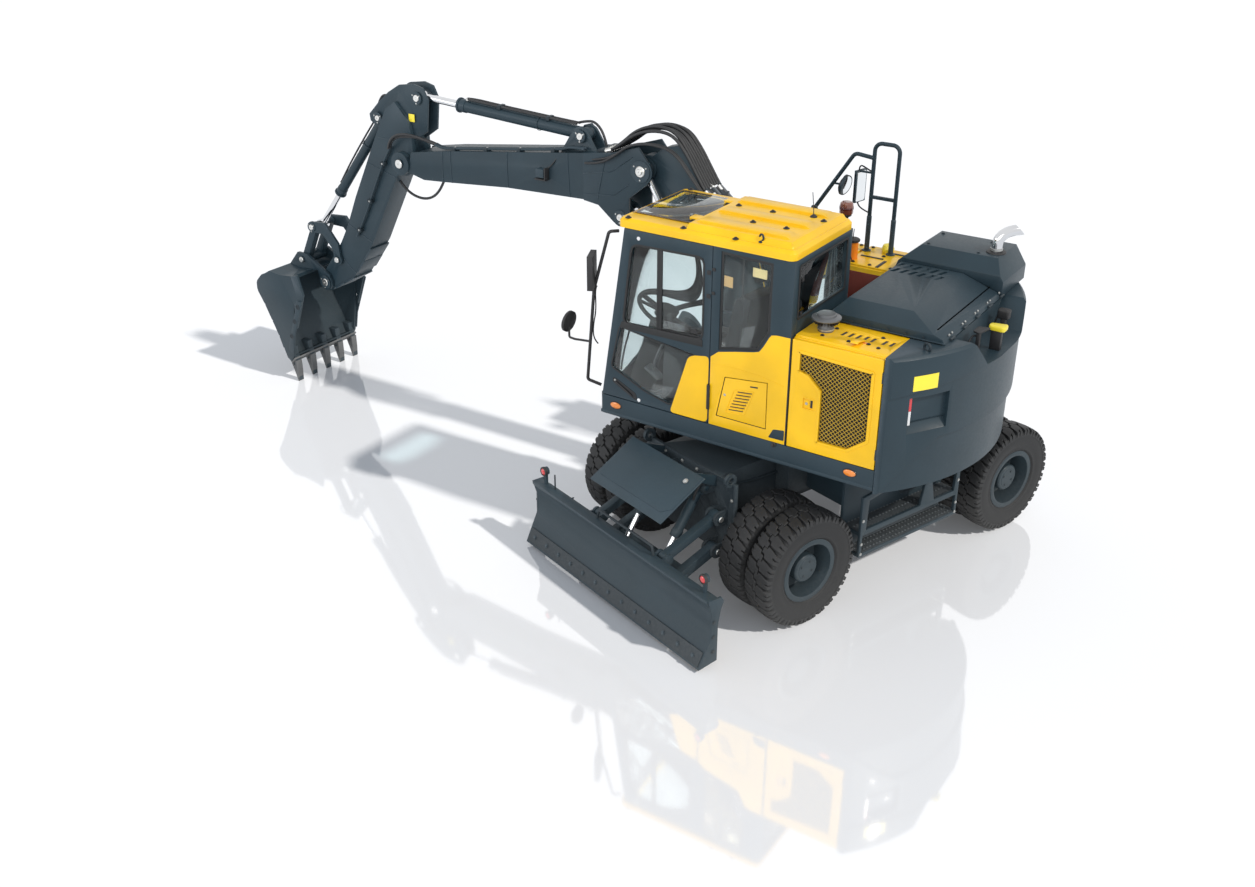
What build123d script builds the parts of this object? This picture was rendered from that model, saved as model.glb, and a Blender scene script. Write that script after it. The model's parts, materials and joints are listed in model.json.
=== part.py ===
from build123d import *

import os
from math import hypot

os.makedirs("parts", exist_ok=True)

# Wheeled excavator with a two-piece boom and a dozer blade, in millimetres. The origin is on the
# ground under the slewing centre. +X is the way the cab faces, +Y its left, +Z up. The
# undercarriage is modelled straight, with its blade towards +X, and is turned by SWING as it is
# written, because the upper structure stands swung on it.

# ---------------------------------------------------------------- driving dimensions
SWING = 71.1
WHEELBASE = 2620.0
REAR_AXLE_X = 1040.0
TYRE_R = 520.0
TYRE_W = 278.0
TWIN_PITCH = 330.0
OVERALL_W = 2540.0
RIM_R = 254.0
RIM_W = 220.0
RIM_WALL = 14.0
FLANGE_R = 288.0
HUB_R = 128.0
SPINDLE_R = 60.0
RUNNING = 0.05          # radial play of a shaft in its bore
GAP = 6.0               # play between faces that move past each other
FRAME_W = 760.0
FRAME_LOW = 720.0
FRAME_TOP = 1130.0
SLEW_RING_R = 560.0
RING_TOP = 1230.0
DECK_LOW = 1340.0       # underside of the slewing platform
DECK_TOP = 1520.0
HALF_W = 1245.0         # half the width of the upper structure
TAIL_R = 1830.0
BODY_TOP = 2470.0
BOOM_Y = -210.0         # the boom stands to the right of the cab
CAB_RIGHT = 220.0
CAB_WALL = 50.0

FRONT_AXLE_X = REAR_AXLE_X - WHEELBASE
AXLE_Z = TYRE_R
OUTER_Y = OVERALL_W / 2 - TYRE_W / 2
INNER_Y = OUTER_Y - TWIN_PITCH
KINGPIN_Y = INNER_Y - 81
SADDLE_HALF = INNER_Y - 261     # half the width of the frame's middle, clear of the tyres
END_HALF = INNER_Y - 201        # half the width of the end plate that carries the blade
CAB_LEFT = HALF_W               # the cab's side is flush with the platform's
LEFT_RIGHT = (("left", -1), ("right", 1))   # undercarriage sides, seen towards its steered end
AXLES = (("rear", REAR_AXLE_X), ("front", FRONT_AXLE_X))
SWUNG = Location((0, 0, 0), (0, 0, SWING))

# Pins of the working equipment: x and z in the boom's middle plane.
BOOM_FOOT = (300.0, 1950.0)
MAIN_JOINT = (1773.0, 3171.0)
ARM_JOINT = (4785.0, 2801.0)
BUCKET_PIN = (6124.0, 1219.0)
LIFT_FOOT = (750.0, 1450.0)
ADJUST_FOOT = (700.0, 1830.0)
ADJUST_EYE = (2000.0, 2700.0)
ARM_CYL_FOOT = (2520.0, 3375.0)
ARM_CYL_EYE = (4573.0, 3486.0)
BUCKET_CYL_FOOT = (5143.0, 3213.0)
LINK_EYE = (6263.0, 1849.0)
LINK_ON_ARM = (5896.0, 1530.0)
LINK_ON_BUCKET = (6478.0, 1426.0)

# Pins of the blade: x and z on the straight undercarriage.
BLADE_LOW_FOOT = (1420.0, 490.0)
BLADE_HIGH_FOOT = (1400.0, 800.0)
BLADE_REACH = (550.0, -200.0)
BLADE_CYL_FOOT = (1400.0, 1020.0)
BLADE_CYL_EYE = (1860.0, 330.0)
BLADE_LOW_PIN = (BLADE_LOW_FOOT[0] + BLADE_REACH[0], BLADE_LOW_FOOT[1] + BLADE_REACH[1])
BLADE_HIGH_PIN = (BLADE_HIGH_FOOT[0] + BLADE_REACH[0], BLADE_HIGH_FOOT[1] + BLADE_REACH[1])
BLADE_ARM_Y = END_HALF - 150
BLADE_CYL_Y = END_HALF - 350
BLADE_HALF_W = 1250.0

# Lanes across the boom: half widths of what lies side by side on one pin.
TONGUE = 70.0           # lower boom
LIFT_LANE = 127.0       # middle of each lift cylinder
LIFT_ROD_R = 30.0
LIFT_BARREL_R = 44.0
LIFT_EYE = 34.0         # half the width of its eyes
ADJUST_EYE_HALF = 46.0
LUG_IN = TONGUE + GAP   # inner face of the lugs that the main joint turns in
LUG_OUT = LUG_IN + 18.0
BOOM_HALF = 183.0       # upper boom's box, between its side plates
CHEEK = 22.0
ARM_HALF = 140.0
EAR_IN = ARM_HALF + GAP
EAR_OUT = EAR_IN + 35.0
PIN_R = 40.0


def block(x0, x1, y0, y1, z0, z1, mode=Mode.ADD):
    """A box between two corners."""
    with Locations(((x0 + x1) / 2, (y0 + y1) / 2, (z0 + z1) / 2)):
        Box(x1 - x0, y1 - y0, z1 - z0, mode=mode)


def slab(outline, y0, y1, mode=Mode.ADD):
    """An outline of x and z points, filled from y0 to y1."""
    with BuildSketch(Plane.XZ.offset(-y0)) as face:
        with BuildLine():
            Polyline(*outline, close=True)
        make_face()
    extrude(face.sketch, amount=y0 - y1, mode=mode)


def layer(outline, z0, z1, mode=Mode.ADD):
    """An outline of x and y points, filled from z0 to z1."""
    with BuildSketch(Plane.XY.offset(z0)) as face:
        with BuildLine():
            Polyline(*outline, close=True)
        make_face()
    extrude(face.sketch, amount=z1 - z0, mode=mode)


def bar(outline, x0, x1, mode=Mode.ADD):
    """An outline of y and z points, filled from x0 to x1."""
    with BuildSketch(Plane.YZ.offset(x0)) as face:
        with BuildLine():
            Polyline(*outline, close=True)
        make_face()
    extrude(face.sketch, amount=x1 - x0, mode=mode)


def roller(pin, y0, y1, radius, mode=Mode.ADD):
    """A round boss, pin or bore across the machine, from y0 to y1."""
    with Locations((pin[0], (y0 + y1) / 2, pin[1])):
        Cylinder(radius, y1 - y0, rotation=(90, 0, 0), mode=mode)


def rail(points, radius, bend):
    """A round tube along straight runs with bent corners."""
    with BuildLine() as path:
        FilletPolyline(*points, radius=bend)
    with BuildSketch(Plane(path.line @ 0, z_dir=path.line % 0)) as ring:
        Circle(radius)
    sweep(ring.sketch, path=path.line)


def along(foot, eye, y):
    """A plane at a cylinder's foot pin, with its Z towards the rod's eye."""
    return Plane(origin=(foot[0], y, foot[1]), x_dir=(0, 1, 0),
                 z_dir=(eye[0] - foot[0], 0, eye[1] - foot[1]))


def barrel(foot, eye, y, radius, rod_r, start, length, eye_half):
    """A cylinder's barrel: foot eye and stem, tube, wider head, and the bore its rod slides in."""
    axis = along(foot, eye, y)
    with BuildSketch(axis) as stem:
        Rectangle(2 * eye_half, 1.5 * radius)
    extrude(stem.sketch, amount=start + 10)
    roller(foot, y - eye_half, y + eye_half, radius + 4)
    with BuildSketch(axis.offset(start)) as tube:
        Circle(radius)
    extrude(tube.sketch, amount=length - start)
    with BuildSketch(axis.offset(length - 1.6 * radius)) as head:
        Circle(radius + 6)
    extrude(head.sketch, amount=1.6 * radius)
    with BuildSketch(axis.offset(start + 15)) as bore:
        Circle(rod_r + RUNNING)
    extrude(bore.sketch, amount=length, mode=Mode.SUBTRACT)


def rod(foot, eye, y, rod_r, start, eye_r, eye_half):
    """A cylinder's rod: a bar from inside the barrel to its eye."""
    axis = along(foot, eye, y)
    reach = hypot(eye[0] - foot[0], eye[1] - foot[1])
    with BuildSketch(axis.offset(start)) as bar:
        Circle(rod_r)
    extrude(bar.sketch, amount=reach - start)
    roller(eye, y - eye_half, y + eye_half, eye_r)


# ---------------------------------------------------------------- undercarriage frame
END_PLATE_X = 1285.0
LUG_HALF = 38.0         # half the width of a blade arm's boss
LUG_T = 25.0
CYL_HALF = 54.0         # half the width of a blade cylinder's eyes
TIE_EYE_X = END_PLATE_X + 45.0
TIE_EYE_Y = END_HALF - 55
TIE_EYE_Z = 1160.0
TIE_EYE_R = 30.0

with BuildPart() as chassis:
    block(FRONT_AXLE_X - 330, END_PLATE_X, -FRAME_W / 2, FRAME_W / 2, FRAME_LOW, FRAME_TOP)
    block(-640, 640, -SADDLE_HALF, SADDLE_HALF, FRAME_LOW + 60, FRAME_TOP)
    with Locations((0, 0, (FRAME_TOP + RING_TOP - GAP) / 2)):
        Cylinder(SLEW_RING_R, RING_TOP - GAP - FRAME_TOP)
    block(END_PLATE_X, END_PLATE_X + 30, -END_HALF, END_HALF, 410, 1130)
    block(END_PLATE_X - 50, END_PLATE_X, -330, 330, 440, FRAME_LOW)
    block(FRONT_AXLE_X - 360, FRONT_AXLE_X - 330, -FRAME_W / 2, FRAME_W / 2, 640, 1100)
    block(FRONT_AXLE_X - 110, FRONT_AXLE_X + 110, -130, 130, AXLE_Z + 180, FRAME_LOW)
    for x in (REAR_AXLE_X - 60, REAR_AXLE_X + 60):
        for y in (-300, 300):
            block(x - 20, x + 20, y - 70, y + 70, AXLE_Z + 110, FRAME_LOW)
    # lugs for the blade's arms and links, in pairs either side of each arm
    for lane in (-BLADE_ARM_Y, BLADE_ARM_Y):
        for side in (-1, 1):
            y0 = lane + side * (LUG_HALF + GAP + LUG_T / 2) - LUG_T / 2
            for pin in (BLADE_LOW_FOOT, BLADE_HIGH_FOOT):
                block(END_PLATE_X + 20, pin[0], y0, y0 + LUG_T, pin[1] - 65, pin[1] + 65)
                roller(pin, y0, y0 + LUG_T, 65)
                roller(pin, y0, y0 + LUG_T, PIN_R * 0.75 + RUNNING, Mode.SUBTRACT)
    for lane in (-BLADE_CYL_Y, BLADE_CYL_Y):
        for side in (-1, 1):
            y0 = lane + side * (CYL_HALF + GAP + LUG_T / 2) - LUG_T / 2
            block(END_PLATE_X + 20, BLADE_CYL_FOOT[0], y0, y0 + LUG_T,
                  BLADE_CYL_FOOT[1] - 55, BLADE_CYL_FOOT[1] + 55)
            roller(BLADE_CYL_FOOT, y0, y0 + LUG_T, 55)
            roller(BLADE_CYL_FOOT, y0, y0 + LUG_T, 25 + RUNNING, Mode.SUBTRACT)
    # tie-down eyes on top of the end plate
    for side in (-1, 1):
        block(END_PLATE_X, TIE_EYE_X, side * TIE_EYE_Y - 15, side * TIE_EYE_Y + 15,
              TIE_EYE_Z - 60, TIE_EYE_Z + 10)
        roller((TIE_EYE_X, TIE_EYE_Z), side * TIE_EYE_Y - 15, side * TIE_EYE_Y + 15, 62)
        roller((TIE_EYE_X, TIE_EYE_Z), side * TIE_EYE_Y - 15, side * TIE_EYE_Y + 15,
               TIE_EYE_R, Mode.SUBTRACT)
chassis.part.label = "chassis"
export_step(SWUNG * chassis.part, "parts/chassis.step")

# the sloping cover over the blade's linkage, on two gussets
COVER_HIGH = (1560.0, 1235.0)
COVER_LOW = (2030.0, 968.0)
COVER_HALF_W = 490.0
with BuildPart() as cover_plate:
    slab((COVER_HIGH, COVER_LOW, (COVER_LOW[0] - 6, COVER_LOW[1] - 10),
          (COVER_HIGH[0] - 6, COVER_HIGH[1] - 10)), -COVER_HALF_W, COVER_HALF_W)
    for y in (90 - BLADE_ARM_Y, BLADE_ARM_Y - 110):
        slab(((END_PLATE_X + 30, 1125), (END_PLATE_X + 30, 1020), (1560, 1150),
              (1900, 1030), (COVER_HIGH[0] - 6, COVER_HIGH[1] - 10)), y, y + 20)
cover_plate.part.label = "cover_plate"
export_step(SWUNG * cover_plate.part, "parts/cover_plate.step")

# ---------------------------------------------------------------- axles and driveline
HUB_FACE_Y = OVERALL_W / 2 - 62
DISC_Y = INNER_Y + RIM_W / 2
NOSE = 260.0            # from an axle's middle to its drive flange
with BuildPart() as rear_axle:
    roller((REAR_AXLE_X, AXLE_Z), -DISC_Y + 30, DISC_Y - 30, 95)
    for side in (-1, 1):
        roller((REAR_AXLE_X, AXLE_Z), *sorted((side * (DISC_Y - 40), side * (HUB_FACE_Y - 120))),
               SPINDLE_R)
        roller((REAR_AXLE_X, AXLE_Z), *sorted((side * (INNER_Y - 105), side * (DISC_Y - 30))), 135)
    with Locations((REAR_AXLE_X, 0, AXLE_Z)):
        Sphere(185)
    with Locations((REAR_AXLE_X - NOSE / 2, 0, AXLE_Z)):
        Cylinder(70, NOSE, rotation=(0, 90, 0))
    for x in (REAR_AXLE_X - 60, REAR_AXLE_X + 60):
        for y in (-300, 300):
            block(x - 20, x + 20, y - 70, y + 70, AXLE_Z, AXLE_Z + 110)
rear_axle.part.label = "rear_axle"
export_step(SWUNG * rear_axle.part, "parts/rear_axle.step")

YOKE_HALF_H = 90.0
with BuildPart() as front_axle:
    roller((FRONT_AXLE_X, AXLE_Z), -KINGPIN_Y + 120, KINGPIN_Y - 120, 85)
    with Locations((FRONT_AXLE_X, 0, AXLE_Z)):
        Sphere(175)
    block(FRONT_AXLE_X - 90, FRONT_AXLE_X + 90, -110, 110, AXLE_Z, AXLE_Z + 180)
    with Locations((FRONT_AXLE_X + NOSE / 2, 0, AXLE_Z)):
        Cylinder(70, NOSE, rotation=(0, 90, 0))
    for side in (-1, 1):
        y0, y1 = sorted((side * (KINGPIN_Y - 130), side * (KINGPIN_Y - 55)))
        block(FRONT_AXLE_X - 60, FRONT_AXLE_X + 60, y0, y1, AXLE_Z - 125, AXLE_Z + 125)
        y0, y1 = sorted((side * (KINGPIN_Y - 120), side * KINGPIN_Y))
        for z in (AXLE_Z - YOKE_HALF_H - 30, AXLE_Z + YOKE_HALF_H):
            block(FRONT_AXLE_X - 50, FRONT_AXLE_X + 50, y0, y1, z, z + 30)
            with Locations((FRONT_AXLE_X, side * KINGPIN_Y, z + 15)):
                Cylinder(50, 30)
                Cylinder(25 + RUNNING, 30, mode=Mode.SUBTRACT)
    # steering cylinder along the back of the beam
    roller((FRONT_AXLE_X - 150, AXLE_Z), -300, 300, 45)
    block(FRONT_AXLE_X - 150, FRONT_AXLE_X - 60, -60, 60, AXLE_Z - 40, AXLE_Z + 40)
front_axle.part.label = "front_axle"
export_step(SWUNG * front_axle.part, "parts/front_axle.step")

with BuildPart() as driveline:
    block(-260, 260, -170, 170, 450, FRAME_LOW)
    for x0, x1 in ((260, REAR_AXLE_X - NOSE), (FRONT_AXLE_X + NOSE, -260)):
        with Locations(((x0 + x1) / 2, 0, AXLE_Z)):
            Cylinder(42, x1 - x0, rotation=(0, 90, 0))
driveline.part.label = "driveline"
export_step(SWUNG * driveline.part, "parts/driveline.step")

for name, side in LEFT_RIGHT:
    with BuildPart() as knuckle:
        with Locations((FRONT_AXLE_X, side * KINGPIN_Y, AXLE_Z)):
            Cylinder(45, 2 * (YOKE_HALF_H - GAP))
            Cylinder(25, 2 * (YOKE_HALF_H + 30))
        y0, y1 = sorted((side * KINGPIN_Y, side * (DISC_Y - 30)))
        roller((FRONT_AXLE_X, AXLE_Z), y0, y1, 62)
        y0, y1 = sorted((side * (KINGPIN_Y + 60), side * (DISC_Y - 30)))
        roller((FRONT_AXLE_X, AXLE_Z), y0, y1, 110)
        y0, y1 = sorted((side * (DISC_Y - 40), side * (HUB_FACE_Y - 120)))
        roller((FRONT_AXLE_X, AXLE_Z), y0, y1, SPINDLE_R)
    knuckle.part.label = f"knuckle_{name}"
    export_step(SWUNG * knuckle.part, f"parts/knuckle_{name}.step")

# ---------------------------------------------------------------- twin wheels
# tyre section: distance from its middle plane, radius
TYRE_SECTION = ((-RIM_W / 2, RIM_R), (-RIM_W / 2, FLANGE_R), (-TYRE_W / 2 + 8, RIM_R + 60),
                (-TYRE_W / 2, RIM_R + 130), (-TYRE_W / 2 + 8, TYRE_R - 42),
                (-TYRE_W / 2 + 34, TYRE_R - 8), (0, TYRE_R),
                (TYRE_W / 2 - 34, TYRE_R - 8), (TYRE_W / 2 - 8, TYRE_R - 42),
                (TYRE_W / 2, RIM_R + 130), (TYRE_W / 2 - 8, RIM_R + 60), (RIM_W / 2, FLANGE_R),
                (RIM_W / 2, RIM_R))
for end, axle_x in AXLES:
    for name, side in LEFT_RIGHT:
        spin = Axis((axle_x, 0, AXLE_Z), (0, 1, 0))
        with BuildPart() as tyres:
            for middle in (INNER_Y, OUTER_Y):
                with BuildSketch(Plane.YZ.offset(axle_x)) as section:
                    with BuildLine():
                        Polyline(*[(side * (middle + y), AXLE_Z + r) for y, r in TYRE_SECTION],
                                 close=True)
                    make_face()
                revolve(section.sketch, axis=spin)
        tyres.part.label = f"tyres_{end}_{name}"
        export_step(SWUNG * tyres.part, f"parts/tyres_{end}_{name}.step")

        # wheel section: rims, the discs that bolt together at the middle, and the planetary hub
        inner0, inner1 = INNER_Y - RIM_W / 2, INNER_Y + RIM_W / 2
        outer0, outer1 = OUTER_Y - RIM_W / 2, OUTER_Y + RIM_W / 2
        wheel_section = ((inner0 - 8, RIM_R), (inner0 - 8, FLANGE_R), (inner0, FLANGE_R),
                         (inner0, RIM_R), (inner1, RIM_R), (inner1, FLANGE_R - 8),
                         (inner1 + 8, FLANGE_R - 8), (inner1 + 8, RIM_R),
                         (outer0 - 8, RIM_R), (outer0 - 8, FLANGE_R - 8),
                         (outer0, FLANGE_R - 8), (outer0, RIM_R), (outer1, RIM_R),
                         (outer1, FLANGE_R), (outer1 + 8, FLANGE_R),
                         (outer1 + 8, RIM_R - RIM_WALL), (outer0 + 30, RIM_R - RIM_WALL),
                         (outer0 + 10, HUB_R + 30), (outer0 + 10, HUB_R),
                         (HUB_FACE_Y - 12, HUB_R), (HUB_FACE_Y, HUB_R - 12), (HUB_FACE_Y, 0),
                         (HUB_FACE_Y - 115, 0), (HUB_FACE_Y - 115, SPINDLE_R + RUNNING),
                         (DISC_Y - 24, SPINDLE_R + RUNNING), (DISC_Y - 24, RIM_R - RIM_WALL),
                         (inner0 - 8, RIM_R - RIM_WALL))
        with BuildPart() as rims:
            with BuildSketch(Plane.YZ.offset(axle_x)) as section:
                with BuildLine():
                    Polyline(*[(side * y, AXLE_Z + r) for y, r in wheel_section], close=True)
                make_face()
            revolve(section.sketch, axis=spin)
        rims.part.label = f"rims_{end}_{name}"
        export_step(SWUNG * rims.part, f"parts/rims_{end}_{name}.step")

# ---------------------------------------------------------------- steps beside the frame
STEP_OUT = OVERALL_W / 2 - 55
STEP_X0 = -850.0
STEP_X1 = 415.0
with BuildPart() as access_steps:
    for name, side in LEFT_RIGHT:
        y0, y1 = sorted((side * (STEP_OUT - 30), side * STEP_OUT))
        slab(((STEP_X1, 390), (STEP_X1, 980), (STEP_X1 - 260, 1010), (STEP_X1 - 260, 960),
              (STEP_X1 - 80, 930), (STEP_X1 - 65, 650), (-340, 650), (-390, 900), (-460, 900),
              (-520, 650), (-790, 650), (-810, 900), (STEP_X0, 900), (STEP_X0, 390),
              (STEP_X0 + 30, 390), (STEP_X0 + 30, 600), (STEP_X1 - 30, 600), (STEP_X1 - 30, 390)),
             y0, y1)
        for z, depth in ((600, 230), (390, 170)):
            y0, y1 = sorted((side * (STEP_OUT - depth), side * STEP_OUT))
            block(STEP_X0, STEP_X1, y0, y1, z, z + 35)
        y0, y1 = sorted((side * (STEP_OUT - 230), side * (STEP_OUT - 200)))
        block(STEP_X0, STEP_X1 + 20, y0, y1, 390, 1100)
        y0, y1 = sorted((side * SADDLE_HALF, side * (STEP_OUT - 200)))
        for x in (STEP_X0 + 260, STEP_X1 - 40):
            block(x, x + 40, y0, y1, 800, 1060)
access_steps.part.label = "access_steps"
export_step(SWUNG * access_steps.part, "parts/access_steps.step")

# ---------------------------------------------------------------- dozer blade and its linkage
BLADE_TUBE = (BLADE_CYL_EYE[0] - 132, BLADE_CYL_EYE[1] + 22)
with BuildPart() as blade_lower_arms:
    for lane in (-BLADE_ARM_Y, BLADE_ARM_Y):
        y0, y1 = lane - LUG_HALF, lane + LUG_HALF
        slab(((BLADE_LOW_FOOT[0] - 15, BLADE_LOW_FOOT[1] - 45),
              (BLADE_LOW_PIN[0] - 15, BLADE_LOW_PIN[1] - 45),
              (BLADE_LOW_PIN[0] + 15, BLADE_LOW_PIN[1] + 45),
              (BLADE_LOW_FOOT[0] + 15, BLADE_LOW_FOOT[1] + 45)), y0, y1)
        for pin in (BLADE_LOW_FOOT, BLADE_LOW_PIN):
            roller(pin, y0, y1, 56)
            roller(pin, y0 - GAP - LUG_T - 12, y1 + GAP + LUG_T + 12, PIN_R * 0.75)
    roller(BLADE_TUBE, -BLADE_ARM_Y, BLADE_ARM_Y, 52)
    for lane in (-BLADE_CYL_Y, BLADE_CYL_Y):
        for side in (-1, 1):
            y0 = lane + side * (CYL_HALF + GAP + LUG_T / 2) - LUG_T / 2
            block(BLADE_TUBE[0], BLADE_CYL_EYE[0], y0, y0 + LUG_T,
                  BLADE_CYL_EYE[1] - 30, BLADE_CYL_EYE[1] + 50)
            roller(BLADE_CYL_EYE, y0, y0 + LUG_T, 50)
blade_lower_arms.part.label = "blade_lower_arms"
export_step(SWUNG * blade_lower_arms.part, "parts/blade_lower_arms.step")

with BuildPart() as blade_upper_links:
    for lane in (-BLADE_ARM_Y, BLADE_ARM_Y):
        y0, y1 = lane - LUG_HALF, lane + LUG_HALF
        slab(((BLADE_HIGH_FOOT[0] - 12, BLADE_HIGH_FOOT[1] - 35),
              (BLADE_HIGH_PIN[0] - 12, BLADE_HIGH_PIN[1] - 35),
              (BLADE_HIGH_PIN[0] + 12, BLADE_HIGH_PIN[1] + 35),
              (BLADE_HIGH_FOOT[0] + 12, BLADE_HIGH_FOOT[1] + 35)), y0, y1)
        roller(BLADE_HIGH_FOOT, y0, y1, 56)
        roller(BLADE_HIGH_PIN, y0, y1, 42)
        roller(BLADE_HIGH_FOOT, y0 - GAP - LUG_T - 12, y1 + GAP + LUG_T + 12, PIN_R * 0.75)
blade_upper_links.part.label = "blade_upper_links"
export_step(SWUNG * blade_upper_links.part, "parts/blade_upper_links.step")

BLADE_BACK_X = 2045.0
LAMP_Z = 785.0          # of the marker lamps over the blade
with BuildPart() as blade:
    # mouldboard: cutting edge, curved face and the box along its top
    slab(((2229, 36), (2102, 310), (2096, 420), (2100, 520), (2118, 590), (2150, 632),
          (2150, 652), (2040, 652), (2040, 575), (2072, 560), (2068, 420), (2072, 305),
          (2190, 42)), -BLADE_HALF_W + 20, BLADE_HALF_W - 20)
    for side in (-1, 1):
        y0, y1 = sorted((side * (BLADE_HALF_W - 20), side * BLADE_HALF_W))
        slab(((2229, 36), (2102, 310), (2100, 520), (2141, 652), (2010, 652), (1985, 612),
              (2010, 545), (2040, 400), (2040, 60)), y0, y1)
    block(BLADE_BACK_X, 2080, -BLADE_ARM_Y - 170, BLADE_ARM_Y + 170, 120, 600)
    for lane in (-BLADE_ARM_Y, BLADE_ARM_Y):
        for side in (-1, 1):
            y0 = lane + side * (LUG_HALF + GAP + LUG_T / 2) - LUG_T / 2
            for pin, r in ((BLADE_LOW_PIN, 62), (BLADE_HIGH_PIN, 46)):
                block(pin[0], BLADE_BACK_X + 10, y0, y0 + LUG_T, pin[1] - r, pin[1] + r * 0.6)
                roller(pin, y0, y0 + LUG_T, r)
            roller(BLADE_LOW_PIN, y0, y0 + LUG_T, PIN_R * 0.75 + RUNNING, Mode.SUBTRACT)
    # marker lamps on stems behind the top edge
    for y in (-BLADE_HALF_W + 130, BLADE_HALF_W - 130):
        block(2060, 2085, y - 15, y + 15, 640, LAMP_Z)
        with Locations((2078, y, LAMP_Z)):
            Cylinder(38, 45, rotation=(0, 90, 0))
blade.part.label = "blade"
export_step(SWUNG * blade.part, "parts/blade.step")

with BuildPart() as blade_barrels:
    for lane in (-BLADE_CYL_Y, BLADE_CYL_Y):
        barrel(BLADE_CYL_FOOT, BLADE_CYL_EYE, lane, 44, 24, 60, 500, CYL_HALF)
        roller(BLADE_CYL_FOOT, lane - CYL_HALF - GAP - LUG_T, lane + CYL_HALF + GAP + LUG_T, 25)
blade_barrels.part.label = "blade_barrels"
export_step(SWUNG * blade_barrels.part, "parts/blade_barrels.step")

with BuildPart() as blade_rods:
    for lane in (-BLADE_CYL_Y, BLADE_CYL_Y):
        rod(BLADE_CYL_FOOT, BLADE_CYL_EYE, lane, 24, 265, 40, CYL_HALF)
blade_rods.part.label = "blade_rods"
export_step(SWUNG * blade_rods.part, "parts/blade_rods.step")

# ---------------------------------------------------------------- slewing platform
PLATFORM_FRONT = 1385.0
PLATFORM_REAR = -1264.0
CENTRE_FRONT = 900.0
RIGHT_FRONT = 1250.0
BAY_LEFT = 195.0
BAY_RIGHT = -615.0
BRACKET_IN = 205.0
BRACKET_T = 35.0
with BuildPart() as slew_platform:
    layer(((PLATFORM_REAR, HALF_W), (PLATFORM_FRONT - 40, HALF_W), (PLATFORM_FRONT, HALF_W - 50),
           (PLATFORM_FRONT, BAY_LEFT), (CENTRE_FRONT, BAY_LEFT), (CENTRE_FRONT, BAY_RIGHT),
           (RIGHT_FRONT, BAY_RIGHT), (RIGHT_FRONT, -HALF_W + 50), (RIGHT_FRONT - 40, -HALF_W),
           (PLATFORM_REAR, -HALF_W)), DECK_LOW, DECK_TOP)
    block(560, CENTRE_FRONT + 10, BAY_RIGHT + 20, BAY_LEFT - 20, DECK_LOW + 20, DECK_TOP + 10,
          Mode.SUBTRACT)
    with Locations((0, 0, (RING_TOP + DECK_LOW) / 2)):
        Cylinder(SLEW_RING_R - 40, DECK_LOW - RING_TOP)
    for side in (-1, 1):
        y0 = BOOM_Y + side * (BRACKET_IN + BRACKET_T / 2) - BRACKET_T / 2
        slab(((-250, DECK_TOP), (140, 2020), (220, 2085), (380, 2085), (450, 2020),
              (620, DECK_TOP)), y0, y0 + BRACKET_T)
        roller(BOOM_FOOT, y0, y0 + BRACKET_T, PIN_R + 10 + RUNNING, Mode.SUBTRACT)
        for lane in (-LIFT_LANE, LIFT_LANE):
            y1 = BOOM_Y + lane + side * (LIFT_EYE + GAP + 9) - 9
            block(LIFT_FOOT[0] - 70, LIFT_FOOT[0] + 70, y1, y1 + 18,
                  DECK_LOW + 20, LIFT_FOOT[1])
            roller(LIFT_FOOT, y1, y1 + 18, 70)
            roller(LIFT_FOOT, y1, y1 + 18, 30 + RUNNING, Mode.SUBTRACT)
slew_platform.part.label = "slew_platform"
export_step(slew_platform.part, "parts/slew_platform.step")

CW_LOW = 1320.0
CW_TOP = 2490.0
CW_RECESS = 2262.0
CW_STEP = 16.0          # how far each band is set in from the one over it
LAMP_BAY = 31.5         # where a tail lamp's bay is, in degrees from straight behind
BAY_HALF = 188.0
CW_FRONT = PLATFORM_REAR - 4


def tail_skin(radius, outline):
    """All that is outside a radius round the slewing centre, within an outline of x and z."""
    with BuildPart() as skin:
        with BuildSketch(Plane.XY.offset(CW_LOW - 10)):
            Circle(TAIL_R + 60)
            Circle(radius, mode=Mode.SUBTRACT)
        extrude(amount=CW_TOP - CW_LOW + 20)
        slab(outline, -HALF_W - 10, HALF_W + 10, Mode.INTERSECT)
    return skin.part


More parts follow.
